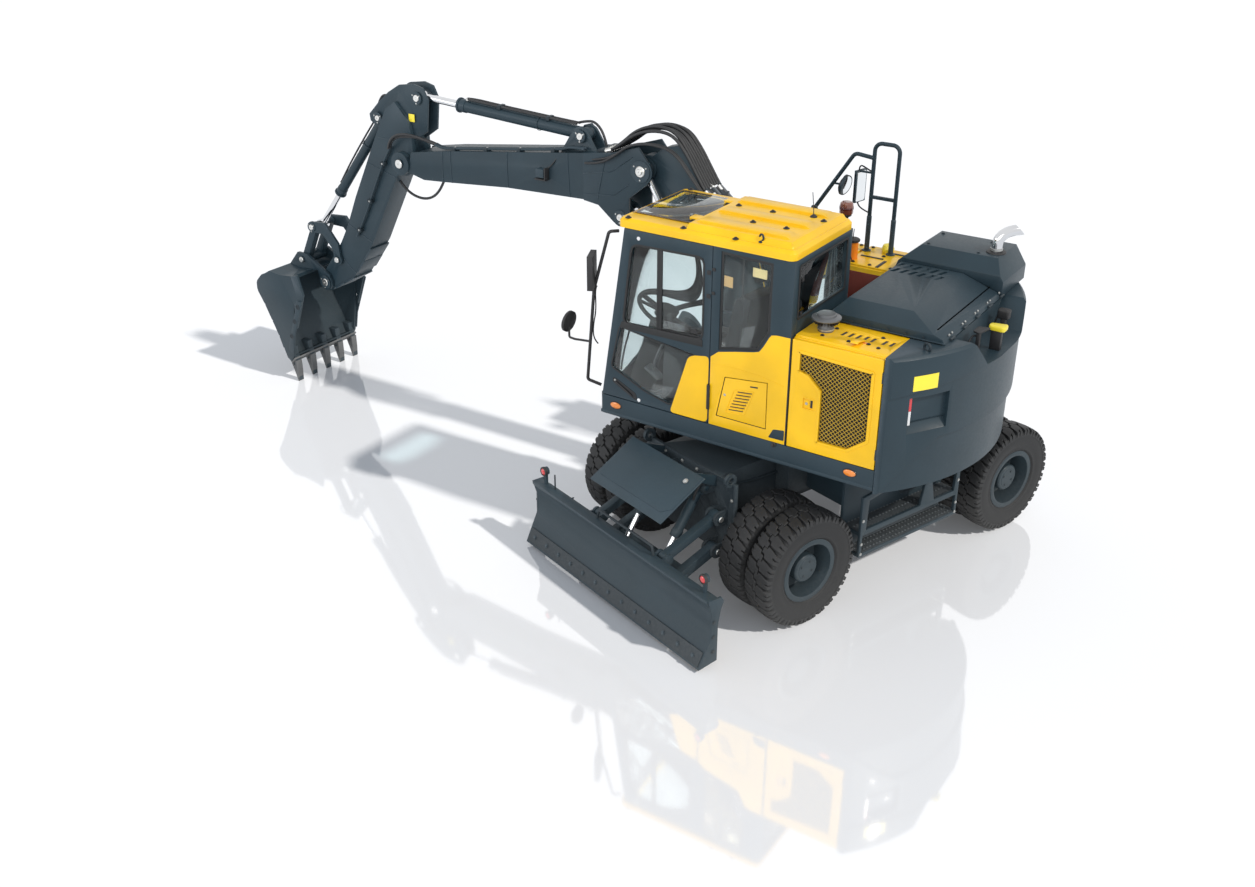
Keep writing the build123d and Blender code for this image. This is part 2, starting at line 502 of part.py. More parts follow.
LEDGE_X = 300 - TAIL_R  # back edge of the ledge that the hood closes on
with BuildPart() as counterweight:
    with BuildSketch(Plane.XY.offset(CW_LOW)):
        Circle(TAIL_R)
        with Locations(((CW_FRONT - TAIL_R - 10) / 2, 0)):
            Rectangle(CW_FRONT + TAIL_R + 10, 2 * HALF_W, mode=Mode.INTERSECT)
    extrude(amount=CW_TOP - CW_LOW)
    # camera notch in the middle of the rim, and the ledge that the hood closes on
    bar(((-636, CW_TOP + 50), (-402, CW_RECESS), (402, CW_RECESS), (636, CW_TOP + 50)),
        -TAIL_R - 10, LEDGE_X, Mode.SUBTRACT)
    block(LEDGE_X, PLATFORM_REAR, -1080, 780, BODY_TOP - 5, CW_TOP + 10, Mode.SUBTRACT)
    top_rim = counterweight.edges().filter_by(GeomType.CIRCLE).group_by(Axis.Z)[-1]
    chamfer(top_rim, 22)
    # the band under the rim, and the body under that, with a slanting front end
    add(tail_skin(TAIL_R - CW_STEP, ((-1250, 2140), (-1900, 2279), (-1900, 1200), (-1250, 1200))),
        mode=Mode.SUBTRACT)
    add(tail_skin(TAIL_R - 3 * CW_STEP, ((-1900, 1760), (-1609, 1753), (-1486, 1581),
                                         (-1250, 1251), (-1250, 1200), (-1900, 1200))),
        mode=Mode.SUBTRACT)
    # tail lamp bays with sloping sills
    for side in (-1, 1):
        with Locations(Location((0, 0, 0), (0, 0, 180 - side * LAMP_BAY))):
            with Locations((TAIL_R, 0, 2026)):
                Box(150, 2 * BAY_HALF, 228, mode=Mode.SUBTRACT)
            with Locations(Location((TAIL_R + 5, 0, 1903), (0, 58, 0))):
                Box(90, 2 * BAY_HALF, 150, mode=Mode.SUBTRACT)
counterweight.part.label = "counterweight"
export_step(counterweight.part, "parts/counterweight.step")

# ---------------------------------------------------------------- engine bay
CAB_REAR = -470.0
with BuildPart() as engine_block:
    block(-1150, -500, -560, 620, DECK_TOP, 2250)
engine_block.part.label = "engine_block"
export_step(engine_block.part, "parts/engine_block.step")

# left body beside the engine: radiator box with the deck that the pre-cleaner stands on
SIDE_SKIN = 32.0
BODY_FRONT = -480.0
with BuildPart() as side_body_left:
    block(PLATFORM_REAR, BODY_FRONT, 760, HALF_W - SIDE_SKIN - GAP, DECK_TOP, BODY_TOP)
    block(PLATFORM_REAR, BODY_FRONT, 760, HALF_W - 60, BODY_TOP - 2, BODY_TOP + 14)
    block(PLATFORM_REAR + 80, BODY_FRONT - 80, HALF_W - 260, HALF_W, DECK_TOP + 120,
          BODY_TOP - 120, Mode.SUBTRACT)
side_body_left.part.label = "side_body_left"
export_step(side_body_left.part, "parts/side_body_left.step")

# outline of the grille in the door: x and z, from its top corner by the cab
GRILLE = ((-560, 2360), (-1170, 2330), (-1170, 1760), (-1010, 1640), (-760, 1640),
          (-760, 2080), (-640, 2190), (-560, 2210))
with BuildPart() as engine_door:
    block(PLATFORM_REAR + GAP, BODY_FRONT - GAP, HALF_W - SIDE_SKIN, HALF_W,
          DECK_TOP + 6, BODY_TOP - 6)
    slab(GRILLE, HALF_W - SIDE_SKIN, HALF_W, Mode.SUBTRACT)
    for i in range(15):
        z = 1660 + 48 * i
        x0 = -1175
        x1 = -755 if z < 2100 else -555
        block(x0, x1, HALF_W - SIDE_SKIN + 4, HALF_W - 12, z, z + 12)
engine_door.part.label = "engine_door"
export_step(engine_door.part, "parts/engine_door.step")

# right body: tank and tool box, stepped down towards the front
TANK_FRONT = 560.0
BOX_FRONT = 1240.0
BOX_TOP = 1985.0
with BuildPart() as side_body_right:
    block(PLATFORM_REAR, TANK_FRONT, -HALF_W, -660, DECK_TOP, BODY_TOP - 25)
    block(TANK_FRONT, BOX_FRONT, -HALF_W, -660, DECK_TOP, BOX_TOP - 25)
    block(TANK_FRONT + 40, BOX_FRONT - 40, -HALF_W + 40, -700, DECK_TOP + 40, BOX_TOP,
          Mode.SUBTRACT)
side_body_right.part.label = "side_body_right"
export_step(side_body_right.part, "parts/side_body_right.step")

with BuildPart() as tool_box_lid:
    block(TANK_FRONT + GAP, BOX_FRONT + 10, -HALF_W - 8, -650, BOX_TOP - 19, BOX_TOP + 8)
tool_box_lid.part.label = "tool_box_lid"
export_step(tool_box_lid.part, "parts/tool_box_lid.step")

# hood: low lid with sloped edges on the left, raised box with the tail pipe on the right
HOOD_Z = BODY_TOP + 14 + GAP
with BuildPart() as engine_hood:
    slab(((-560, HOOD_Z), (-1545, HOOD_Z), (-1520, 2530), (-1200, 2640), (-640, 2640),
          (-570, 2560)), -480, 760)
    slab(((-545, HOOD_Z), (-1545, HOOD_Z), (-1545, 2620), (-1440, 2780), (-760, 2780),
          (-600, 2640)), -1075, -500)
    # bevels of the left edge and of the raised box
    bar(((770, HOOD_Z + 60), (770, 2800), (560, 2800), (560, 2650)), -1600, -500, Mode.SUBTRACT)
    bar(((-470, 2640), (-620, 2780), (-470, 2800)), -1600, -500, Mode.SUBTRACT)
    block(-1440, -620, -980, 660, HOOD_Z, 2560, Mode.SUBTRACT)
engine_hood.part.label = "engine_hood"
export_step(engine_hood.part, "parts/engine_hood.step")

EXHAUST_XY = (-1370.0, -760.0)
with BuildPart() as exhaust_pipe:
    rail(((*EXHAUST_XY, 2781), (*EXHAUST_XY, 2900), (-1500, -900, 2960)), 48, 60)
exhaust_pipe.part.label = "exhaust_pipe"
export_step(exhaust_pipe.part, "parts/exhaust_pipe.step")

with BuildPart() as air_precleaner:
    for r, z0, z1 in ((70, 0, 60), (62, 60, 100), (120, 100, 128), (80, 128, 150)):
        with Locations((-640, 980, BODY_TOP + 14 + (z0 + z1) / 2)):
            Cylinder(r, z1 - z0)
air_precleaner.part.label = "air_precleaner"
export_step(air_precleaner.part, "parts/air_precleaner.step")

# ---------------------------------------------------------------- handrails and mirrors
RAIL_R = 19.0
RAIL_FOOT = BODY_TOP - 25
with BuildPart() as handrails:
    rail(((-50, -1080, RAIL_FOOT), (-50, -1080, 3470), (-290, -1080, 3470),
          (-290, -1080, RAIL_FOOT)), RAIL_R, 70)
    block(-290, -50, -1094, -1066, 2960, 2988)
    rail(((-50, -1080, 3330), (140, -1080, 3350), (520, -1080, 2760), (520, -1080, RAIL_FOOT)),
         RAIL_R, 60)
    # a flat mirror beside the post, and a round one on the sloping rail
    block(-50, 92, -1112, -1092, 3180, 3196)
    with Locations(Location((84, -1112, 3050), (0, 0, -14))):
        Box(26, 150, 300)
    block(225, 345, -1088, -1072, 3035, 3051)
    with Locations(Location((222, -1080, 3043), (0, 80, -12))):
        Cylinder(95, 24)
handrails.part.label = "handrails"
export_step(handrails.part, "parts/handrails.step")

with BuildPart() as mirror_rail:
    rail(((1180, HALF_W - 30, 3040), (1240, HALF_W + 30, 3040), (1400, HALF_W + 30, 2500),
          (1480, HALF_W + 30, 1640), (1375, HALF_W - 30, 1590)), 14, 30)
    with Locations(Location((1395, HALF_W + 65, 2680), (0, 0, 25))):
        Box(50, 200, 300)
    rail(((1440, HALF_W + 30, 2010), (1600, HALF_W + 45, 2000), (1655, HALF_W + 55, 2010),
          (1655, HALF_W + 55, 2110)), 10, 20)
    with Locations(Location((1655, HALF_W + 57, 2160), (0, 82, 10))):
        Cylinder(95, 24)
mirror_rail.part.label = "mirror_rail"
export_step(mirror_rail.part, "parts/mirror_rail.step")

with BuildPart() as beacon:
    with Locations((-30, -600, 2700)):
        Cylinder(30, 2 * (2700 - BODY_TOP + 25))
    with Locations((-30, -600, 2990)):
        Cylinder(62, 110)
beacon.part.label = "beacon"
export_step(beacon.part, "parts/beacon.step")

# ---------------------------------------------------------------- cab
ROOF_LOW = 3092.0
ROOF_FRONT_TOP = 3172.0 # round the glass hatch
ROOF_TOP = 3218.0       # of the raised panel behind it
ROOF_HATCH_X = (600.0, 1080.0)
ROOF_HATCH_Y = (330.0, 1050.0)
CAB_FLOOR = DECK_TOP + 2
FRONT_LOW_X = 1350.0
FRONT_TOP_X = 1110.0
SIDE_OUTLINE = ((CAB_REAR, CAB_FLOOR), (FRONT_LOW_X, CAB_FLOOR), (FRONT_TOP_X, ROOF_LOW),
                (CAB_REAR, ROOF_LOW))
DOOR_REAR_X = 262.0
BELT = 2205.0
DOOR_OUTLINE = ((DOOR_REAR_X, CAB_FLOOR + 6), (FRONT_LOW_X - 6, CAB_FLOOR + 6),
                (FRONT_TOP_X - 2, ROOF_LOW - 6), (DOOR_REAR_X, ROOF_LOW - 6))


def front_x(z):
    """Where the sloping front of the cab is at a height."""
    return FRONT_LOW_X + (FRONT_TOP_X - FRONT_LOW_X) * (z - CAB_FLOOR) / (ROOF_LOW - CAB_FLOOR)


HATCH = ((175, 1625), (105, 1985), (-280, 2028), (-285, 1625))
HATCH_PLACE = ((183, 1619), (110, 1991), (-287, 2035), (-291, 1619))
REAR_GLASS = ((-285, 2460), (-185, 2290), (180, 2215), (180, 3060), (-285, 3045))
with BuildPart() as cab_shell:
    slab(SIDE_OUTLINE, CAB_RIGHT, CAB_LEFT)
    slab(((CAB_REAR + CAB_WALL, CAB_FLOOR + 60), (front_x(CAB_FLOOR) - CAB_WALL, CAB_FLOOR + 60),
          (FRONT_TOP_X - CAB_WALL, ROOF_LOW + 10), (CAB_REAR + CAB_WALL, ROOF_LOW + 10)),
         CAB_RIGHT + CAB_WALL, CAB_LEFT - CAB_WALL, Mode.SUBTRACT)
    # door opening, then the rear side window and its yellow panel's place
    slab(((DOOR_REAR_X - GAP, CAB_FLOOR + 60), (FRONT_LOW_X - 70, CAB_FLOOR + 60),
          (FRONT_TOP_X - 70, ROOF_LOW + 10), (DOOR_REAR_X - GAP, ROOF_LOW + 10)),
         CAB_LEFT - CAB_WALL - 1, CAB_LEFT + 1, Mode.SUBTRACT)
    slab(((DOOR_REAR_X - GAP, CAB_FLOOR), (FRONT_LOW_X, CAB_FLOOR),
          (FRONT_TOP_X + 10, ROOF_LOW + 10), (DOOR_REAR_X - GAP, ROOF_LOW + 10)),
         CAB_LEFT - CAB_WALL - GAP / 2, CAB_LEFT + 1, Mode.SUBTRACT)
    slab(REAR_GLASS, CAB_LEFT - CAB_WALL - 1, CAB_LEFT + 1, Mode.SUBTRACT)
    slab(HATCH_PLACE, CAB_LEFT - 18, CAB_LEFT + 1, Mode.SUBTRACT)
    # windscreen, right window, rear window
    slab(((FRONT_LOW_X - 200, CAB_FLOOR + 130), (FRONT_LOW_X + 10, CAB_FLOOR + 130),
          (FRONT_LOW_X + 10, ROOF_LOW - 70), (FRONT_TOP_X - 200, ROOF_LOW - 70)),
         CAB_RIGHT + CAB_WALL + 10, CAB_LEFT - CAB_WALL - 20, Mode.SUBTRACT)
    slab(((CAB_REAR + 90, BELT), (front_x(BELT) - 90, BELT),
          (front_x(ROOF_LOW - 50) - 90, ROOF_LOW - 50), (CAB_REAR + 90, ROOF_LOW - 50)),
         CAB_RIGHT - 1, CAB_RIGHT + CAB_WALL + 1, Mode.SUBTRACT)
    block(CAB_REAR - 1, CAB_REAR + CAB_WALL + 1, CAB_RIGHT + 90, CAB_LEFT - 90,
          2600, ROOF_LOW - 60, Mode.SUBTRACT)
cab_shell.part.label = "cab_shell"
export_step(cab_shell.part, "parts/cab_shell.step")

with BuildPart() as cab_glass:
    slab(((front_x(CAB_FLOOR + 132) - 30, CAB_FLOOR + 132), (front_x(CAB_FLOOR + 132) - 24,
          CAB_FLOOR + 132), (front_x(ROOF_LOW - 72) - 24, ROOF_LOW - 72),
          (front_x(ROOF_LOW - 72) - 30, ROOF_LOW - 72)),
         CAB_RIGHT + CAB_WALL + 10, CAB_LEFT - CAB_WALL - 20)
    slab(((CAB_REAR + 90, BELT), (front_x(BELT) - 90, BELT),
          (front_x(ROOF_LOW - 50) - 90, ROOF_LOW - 50), (CAB_REAR + 90, ROOF_LOW - 50)),
         CAB_RIGHT + 20, CAB_RIGHT + 26)
    block(CAB_REAR + 20, CAB_REAR + 26, CAB_RIGHT + 90, CAB_LEFT - 90, 2600, ROOF_LOW - 60)
    slab(REAR_GLASS, CAB_LEFT - 14, CAB_LEFT - 8)
    block(ROOF_HATCH_X[0] - 40, ROOF_HATCH_X[1] + 50, ROOF_HATCH_Y[0] - 35, ROOF_HATCH_Y[1] + 35,
          ROOF_FRONT_TOP, ROOF_FRONT_TOP + 8)
cab_glass.part.label = "cab_glass"
export_step(cab_glass.part, "parts/cab_glass.step")

UPPER_GLASS = ((340, 2270), (front_x(2250) - 120, 2250), (front_x(2950) - 105, 2950), (345, 2965))
LOWER_GLASS = ((345, 2110), (front_x(2200) - 100, 2200), (1243, 1815), (905, 1670), (640, 1600))
with BuildPart() as cab_door:
    slab(DOOR_OUTLINE, CAB_LEFT - CAB_WALL, CAB_LEFT)
    slab(UPPER_GLASS, CAB_LEFT - CAB_WALL - 1, CAB_LEFT + 1, Mode.SUBTRACT)
    slab(LOWER_GLASS, CAB_LEFT - CAB_WALL - 1, CAB_LEFT + 1, Mode.SUBTRACT)
cab_door.part.label = "cab_door"
export_step(cab_door.part, "parts/cab_door.step")

with BuildPart() as door_glass:
    slab(UPPER_GLASS, CAB_LEFT - 20, CAB_LEFT - 14)
    slab(LOWER_GLASS, CAB_LEFT - 14, CAB_LEFT - 8)
door_glass.part.label = "door_glass"
export_step(door_glass.part, "parts/door_glass.step")

# louvred hatch in the yellow panel behind the door
with BuildPart() as service_hatch:
    slab(HATCH, CAB_LEFT - 13, CAB_LEFT)
service_hatch.part.label = "service_hatch"
export_step(service_hatch.part, "parts/service_hatch.step")

ROOF_EDGE = 12.0
ROOF_FRONT = FRONT_TOP_X + 60
ROOF_RIBS = ((330, 470), (660, 800), (990, 1130))
with BuildPart() as cab_roof:
    with BuildSketch(Plane.XY.offset(ROOF_LOW)):
        with Locations(((CAB_REAR + ROOF_FRONT) / 2, (CAB_LEFT + CAB_RIGHT) / 2)):
            RectangleRounded(ROOF_FRONT - CAB_REAR, CAB_LEFT - CAB_RIGHT + 2 * ROOF_EDGE, 60)
    extrude(amount=ROOF_FRONT_TOP - ROOF_LOW)
    block(CAB_REAR + 100, FRONT_TOP_X - 60, CAB_RIGHT + 60, CAB_LEFT - 60,
          ROOF_LOW - 1, ROOF_FRONT_TOP - 28, Mode.SUBTRACT)
    chamfer(cab_roof.faces().sort_by(Axis.Z)[-1].outer_wire().edges(), 26)
    block(*ROOF_HATCH_X, *ROOF_HATCH_Y, ROOF_LOW, ROOF_FRONT_TOP + 1, Mode.SUBTRACT)
    with BuildSketch(Plane.XY.offset(ROOF_FRONT_TOP)) as panel:
        with Locations(((CAB_REAR + 40 + ROOF_HATCH_X[0] - 52) / 2, (CAB_LEFT + CAB_RIGHT) / 2)):
            RectangleRounded(ROOF_HATCH_X[0] - 92 - CAB_REAR, CAB_LEFT - CAB_RIGHT - 60, 30)
    extrude(panel.sketch, amount=ROOF_TOP - ROOF_FRONT_TOP, taper=35)
    for y0, y1 in ROOF_RIBS:
        slab(((CAB_REAR + 110, ROOF_TOP), (CAB_REAR + 160, ROOF_TOP + 20),
              (ROOF_HATCH_X[0] - 150, ROOF_TOP + 20), (ROOF_HATCH_X[0] - 115, ROOF_TOP)), y0, y1)
cab_roof.part.label = "cab_roof"
export_step(cab_roof.part, "parts/cab_roof.step")

SEAT_X = 400.0
SEAT_Y = 740.0
with BuildPart() as cab_seat:
    block(SEAT_X - 200, SEAT_X + 230, SEAT_Y - 200, SEAT_Y + 200, CAB_FLOOR + 60, CAB_FLOOR + 380)
    block(SEAT_X - 240, SEAT_X + 280, SEAT_Y - 250, SEAT_Y + 250, CAB_FLOOR + 380, CAB_FLOOR + 500)
    slab(((SEAT_X - 250, CAB_FLOOR + 480), (SEAT_X - 120, CAB_FLOOR + 480),
          (SEAT_X - 220, CAB_FLOOR + 1080), (SEAT_X - 330, CAB_FLOOR + 1080)),
         SEAT_Y - 250, SEAT_Y + 250)
    slab(((SEAT_X - 330, CAB_FLOOR + 1080), (SEAT_X - 230, CAB_FLOOR + 1080),
          (SEAT_X - 260, CAB_FLOOR + 1290), (SEAT_X - 340, CAB_FLOOR + 1290)),
         SEAT_Y - 140, SEAT_Y + 140)
cab_seat.part.label = "cab_seat"
export_step(cab_seat.part, "parts/cab_seat.step")

WHEEL_X = 1000.0        # middle of the steering wheel
with BuildPart() as cab_controls:
    for y in (SEAT_Y - 330, SEAT_Y + 265):
        block(SEAT_X - 230, SEAT_X + 430, y, y + 65, CAB_FLOOR + 60, CAB_FLOOR + 620)
    slab(((WHEEL_X + 60, CAB_FLOOR + 60), (WHEEL_X + 240, CAB_FLOOR + 60),
          (WHEEL_X + 70, CAB_FLOOR + 700), (WHEEL_X - 30, CAB_FLOOR + 700)),
         SEAT_Y - 60, SEAT_Y + 60)
    with Locations(Location((WHEEL_X, SEAT_Y, CAB_FLOOR + 740), (0, -28, 0))):
        Torus(185, 14)
        Cylinder(60, 60)
        Box(370, 30, 16)
cab_controls.part.label = "cab_controls"
export_step(cab_controls.part, "parts/cab_controls.step")

# ---------------------------------------------------------------- boom
with BuildPart() as lower_boom:
    slab(((215, 2055), (700, 2640), (1180, 3040), (1256, 3158), (1310, 3270), (1440, 3430),
          (1600, 3390), (1720, 3300), (1850, 3180), (1830, 3080), (1640, 2930), (1250, 2520),
          (860, 2090), (385, 1850)), BOOM_Y - TONGUE, BOOM_Y + TONGUE)
    roller(BOOM_FOOT, BOOM_Y - BRACKET_IN + GAP, BOOM_Y + BRACKET_IN - GAP, 115)
    roller(BOOM_FOOT, BOOM_Y - BRACKET_IN - BRACKET_T - 20, BOOM_Y + BRACKET_IN + BRACKET_T + 20,
           PIN_R + 10)
    roller(MAIN_JOINT, BOOM_Y - TONGUE, BOOM_Y + TONGUE, 125)
    roller(MAIN_JOINT, BOOM_Y - TONGUE, BOOM_Y + TONGUE, PIN_R + RUNNING, Mode.SUBTRACT)
    for side in (-1, 1):
        y0 = BOOM_Y + side * (ADJUST_EYE_HALF + GAP + 9) - 9
        slab(((ADJUST_FOOT[0] - 68, ADJUST_FOOT[1]), (ADJUST_FOOT[0] + 35, ADJUST_FOOT[1] + 30),
              (ADJUST_FOOT[0], ADJUST_FOOT[1] + 250),
              (ADJUST_FOOT[0] - 170, ADJUST_FOOT[1] + 150)), y0, y0 + 18)
        roller(ADJUST_FOOT, y0, y0 + 18, 68)
        roller(ADJUST_FOOT, y0, y0 + 18, 30 + RUNNING, Mode.SUBTRACT)
lower_boom.part.label = "lower_boom"
export_step(lower_boom.part, "parts/lower_boom.step")

with BuildPart() as upper_boom:
    # box from the bend to the casting that holds the arm's pin
    slab(((2088, 3290), (4205, 3010), (4640, 2935), (4700, 2720), (4480, 2670), (4215, 2690),
          (3360, 2765), (2420, 2800)), BOOM_Y - BOOM_HALF, BOOM_Y + BOOM_HALF)
    roller(ARM_JOINT, BOOM_Y - BOOM_HALF - 25, BOOM_Y + BOOM_HALF + 25, 118)
    block(4560, 4920, BOOM_Y - EAR_IN, BOOM_Y + EAR_IN, 2580, 3000, Mode.SUBTRACT)
    slab(((4330, 2600), (4600, 2600), (4600, 2820), (4540, 2820)), BOOM_Y - EAR_IN, BOOM_Y + EAR_IN,
         Mode.SUBTRACT)
    roller(ARM_JOINT, BOOM_Y - BOOM_HALF - 25, BOOM_Y + BOOM_HALF + 25,
           PIN_R + RUNNING, Mode.SUBTRACT)
    # side plates round the main joint, down to the adjusting cylinder's eye
    for side in (-1, 1):
        y0, y1 = sorted((BOOM_Y + side * BOOM_HALF, BOOM_Y + side * (BOOM_HALF + CHEEK)))
        slab(((1700, 3270), (1800, 3390), (2088, 3300), (2420, 3250), (2420, 2800), (2250, 2780),
              (2070, 2640), (1960, 2620), (1900, 2700), (1900, 2900), (1700, 3060)), y0, y1)
        roller(MAIN_JOINT, y0, y1, 125)
        roller(ADJUST_EYE, y0, y1, 88)
        # inner lugs, with the pin that the lower boom carries, and those of the rod's eye
        y0, y1 = sorted((BOOM_Y + side * LUG_IN, BOOM_Y + side * LUG_OUT))
        roller(MAIN_JOINT, y0, y1, 95)
        slab(((MAIN_JOINT[0], MAIN_JOINT[1] + 95), (2180, 3230), (2180, 3080),
              (MAIN_JOINT[0] + 27, MAIN_JOINT[1] - 93)), y0, y1)
        y0, y1 = sorted((BOOM_Y + side * (ADJUST_EYE_HALF + GAP),
                         BOOM_Y + side * (ADJUST_EYE_HALF + GAP + 20)))
        roller(ADJUST_EYE, y0, y1, 80)
        slab(((2000, 2780), (2300, 2900), (2300, 2760), (2020, 2622)), y0, y1)
    roller(MAIN_JOINT, BOOM_Y - LUG_OUT, BOOM_Y + LUG_OUT, PIN_R)
    block(2160, 2240, BOOM_Y - BOOM_HALF - 5, BOOM_Y + BOOM_HALF + 5, 2860, 3250)
    # work lamp on the left side
    block(2860, 2950, BOOM_Y + BOOM_HALF - 1, BOOM_Y + BOOM_HALF + 75, 2955, 3035)
    # lugs of the arm cylinder's foot
    for side in (-1, 1):
        y0 = BOOM_Y + side * (62 + GAP + 12) - 12
        slab(((2340, 3240), (2440, 3400), (2520, 3465), (2600, 3440), (2760, 3200)), y0, y0 + 24)
        roller(ARM_CYL_FOOT, y0, y0 + 24, 34 + RUNNING, Mode.SUBTRACT)
upper_boom.part.label = "upper_boom"
export_step(upper_boom.part, "parts/upper_boom.step")

with BuildPart() as arm:
    slab(((4640, 2700), (4660, 3130), (4690, 3240), (4860, 3420), (4990, 3340), (5190, 2990),
          (5390, 2615), (5550, 2309), (5728, 1935), (5842, 1745), (5925, 1630), (6205, 1290),
          (6150, 1110),
          (6040, 1150), (5700, 1345), (5356, 1804), (4900, 2640)),
         BOOM_Y - ARM_HALF, BOOM_Y + ARM_HALF)
    roller(ARM_JOINT, BOOM_Y - ARM_HALF, BOOM_Y + ARM_HALF, 140)
    roller(ARM_JOINT, BOOM_Y - BOOM_HALF - 37, BOOM_Y + BOOM_HALF + 37, PIN_R)
    roller(BUCKET_PIN, BOOM_Y - ARM_HALF, BOOM_Y + ARM_HALF, 112)
    roller(BUCKET_PIN, BOOM_Y - ARM_HALF, BOOM_Y + ARM_HALF, PIN_R + RUNNING, Mode.SUBTRACT)
    # arched back plates with the bosses of both cylinders
    for side in (-1, 1):
        y0 = BOOM_Y + side * (62 + GAP + 12) - 12
        slab(((4660, 3030), (4480, 3150), (4440, 3472), (4500, 3590), (4620, 3620), (4822, 3590),
              (4978, 3500), (5107, 3400), (5275, 3240), (5265, 3170), (5150, 3100), (5100, 3000)),
             y0, y0 + 24)
        roller(BUCKET_CYL_FOOT, y0, y0 + 24, 28 + RUNNING, Mode.SUBTRACT)
    roller(LINK_ON_ARM, BOOM_Y - EAR_OUT - 10, BOOM_Y + EAR_OUT + 10, 32)
    block(4420, 4720, BOOM_Y - 62, BOOM_Y + 62, 3330, 3650, Mode.SUBTRACT)
arm.part.label = "arm"
export_step(arm.part, "parts/arm.step")

# ---------------------------------------------------------------- bucket and its linkage
BUCKET_HALF = 510.0
BUCKET_SHELL = ((6315, 1150), (6320, 1342), (6522, 1320), (6700, 1335), (6829, 1261), (6930, 1160),
                (6935, 1060), (6837, 900), (6656, 537), (6560, 285), (6500, 245), (6450, 330))
BUCKET_HOLLOW = ((6090, 1100), (6330, 1310), (6522, 1290), (6685, 1302), (6800, 1235),
                 (6890, 1140), (6893, 1070), (6805, 910), (6620, 545), (6528, 310),
                 (6460, 330), (6300, 400), (5900, 700))
with BuildPart() as bucket:
    slab(BUCKET_SHELL, BOOM_Y - BUCKET_HALF, BOOM_Y + BUCKET_HALF)
    slab(BUCKET_HOLLOW, BOOM_Y - BUCKET_HALF + 28, BOOM_Y + BUCKET_HALF - 28, Mode.SUBTRACT)
    for y in (-BUCKET_HALF, BUCKET_HALF - 28):
        slab(((6173, 1139), (6238, 1366), (6340, 1340), (6340, 700)), BOOM_Y + y, BOOM_Y + y + 28)
    for side in (-1, 1):
        y0, y1 = sorted((BOOM_Y + side * EAR_IN, BOOM_Y + side * EAR_OUT))
        slab(((6040, 1170), (6060, 1310), (6400, 1500), (6550, 1500), (6700, 1330), (6522, 1300),
              (6240, 1340), (6200, 1150)), y0, y1)
        roller(BUCKET_PIN, y0, y1, 95)
        roller(LINK_ON_BUCKET, y0, y1, 75)
        roller(LINK_ON_BUCKET, y0, y1, 32 + RUNNING, Mode.SUBTRACT)
        # side cutter along the lip
        y0, y1 = sorted((BOOM_Y + side * BUCKET_HALF, BOOM_Y + side * (BUCKET_HALF + 16)))
        slab(((6195, 1060), (6265, 1060), (6480, 520), (6505, 400), (6436, 360), (6396, 560)),
             y0, y1)
    roller(BUCKET_PIN, BOOM_Y - EAR_OUT - 12, BOOM_Y + EAR_OUT + 12, PIN_R)
    for i in range(5):
        y = BOOM_Y + (i - 2) * 226
        slab(((6570, 420), (6520, 240), (6455, 8), (6432, 8), (6440, 240), (6480, 420)),
             y - 32, y + 32)
bucket.part.label = "bucket"
export_step(bucket.part, "parts/bucket.step")

with BuildPart() as arm_side_links:
    for side in (-1, 1):
        y0, y1 = sorted((BOOM_Y + side * EAR_IN, BOOM_Y + side * EAR_OUT))
        slab(((5850, 1570), (5870, 1720), (6050, 1930), (6230, 1915), (6310, 1880), (6270, 1790),
              (6100, 1790), (5960, 1640), (5950, 1500)), y0, y1)
        roller(LINK_ON_ARM, y0, y1, 62)
        roller(LINK_ON_ARM, y0, y1, 32 + RUNNING, Mode.SUBTRACT)
        roller(LINK_EYE, y0, y1, 62)
arm_side_links.part.label = "arm_side_links"
export_step(arm_side_links.part, "parts/arm_side_links.step")

with BuildPart() as bucket_link:
    for side in (-1, 1):
        y0, y1 = sorted((BOOM_Y + side * 62, BOOM_Y + side * (EAR_IN - GAP)))
        slab(((6224, 1835), (6430, 1425), (6520, 1445), (6302, 1865)), y0, y1)
        roller(LINK_EYE, y0, y1, 44)
    roller(LINK_ON_BUCKET, BOOM_Y - EAR_IN + GAP, BOOM_Y + EAR_IN - GAP, 62)
    roller(LINK_ON_BUCKET, BOOM_Y - EAR_OUT - 12, BOOM_Y + EAR_OUT + 12, 32)
bucket_link.part.label = "bucket_link"
export_step(bucket_link.part, "parts/bucket_link.step")

# ---------------------------------------------------------------- hydraulic cylinders
with BuildPart() as lift_barrels:
    for side in (-1, 1):
        y = BOOM_Y + side * LIFT_LANE
        barrel(LIFT_FOOT, MAIN_JOINT, y, LIFT_BARREL_R, LIFT_ROD_R, 100, 1560, LIFT_EYE)
        roller(LIFT_FOOT, y - LIFT_EYE - GAP - 18, y + LIFT_EYE + GAP + 18, 30)
lift_barrels.part.label = "lift_barrels"
export_step(lift_barrels.part, "parts/lift_barrels.step")

with BuildPart() as lift_rods:
    for side in (-1, 1):
        rod(LIFT_FOOT, MAIN_JOINT, BOOM_Y + side * LIFT_LANE, LIFT_ROD_R, 350, 72, 27)
lift_rods.part.label = "lift_rods"
export_step(lift_rods.part, "parts/lift_rods.step")

with BuildPart() as adjust_barrel:
    barrel(ADJUST_FOOT, ADJUST_EYE, BOOM_Y, 60, 36, 90, 1080, ADJUST_EYE_HALF)
    roller(ADJUST_FOOT, BOOM_Y - ADJUST_EYE_HALF - GAP - 18, BOOM_Y + ADJUST_EYE_HALF + GAP + 18, 30)
adjust_barrel.part.label = "adjust_barrel"
export_step(adjust_barrel.part, "parts/adjust_barrel.step")

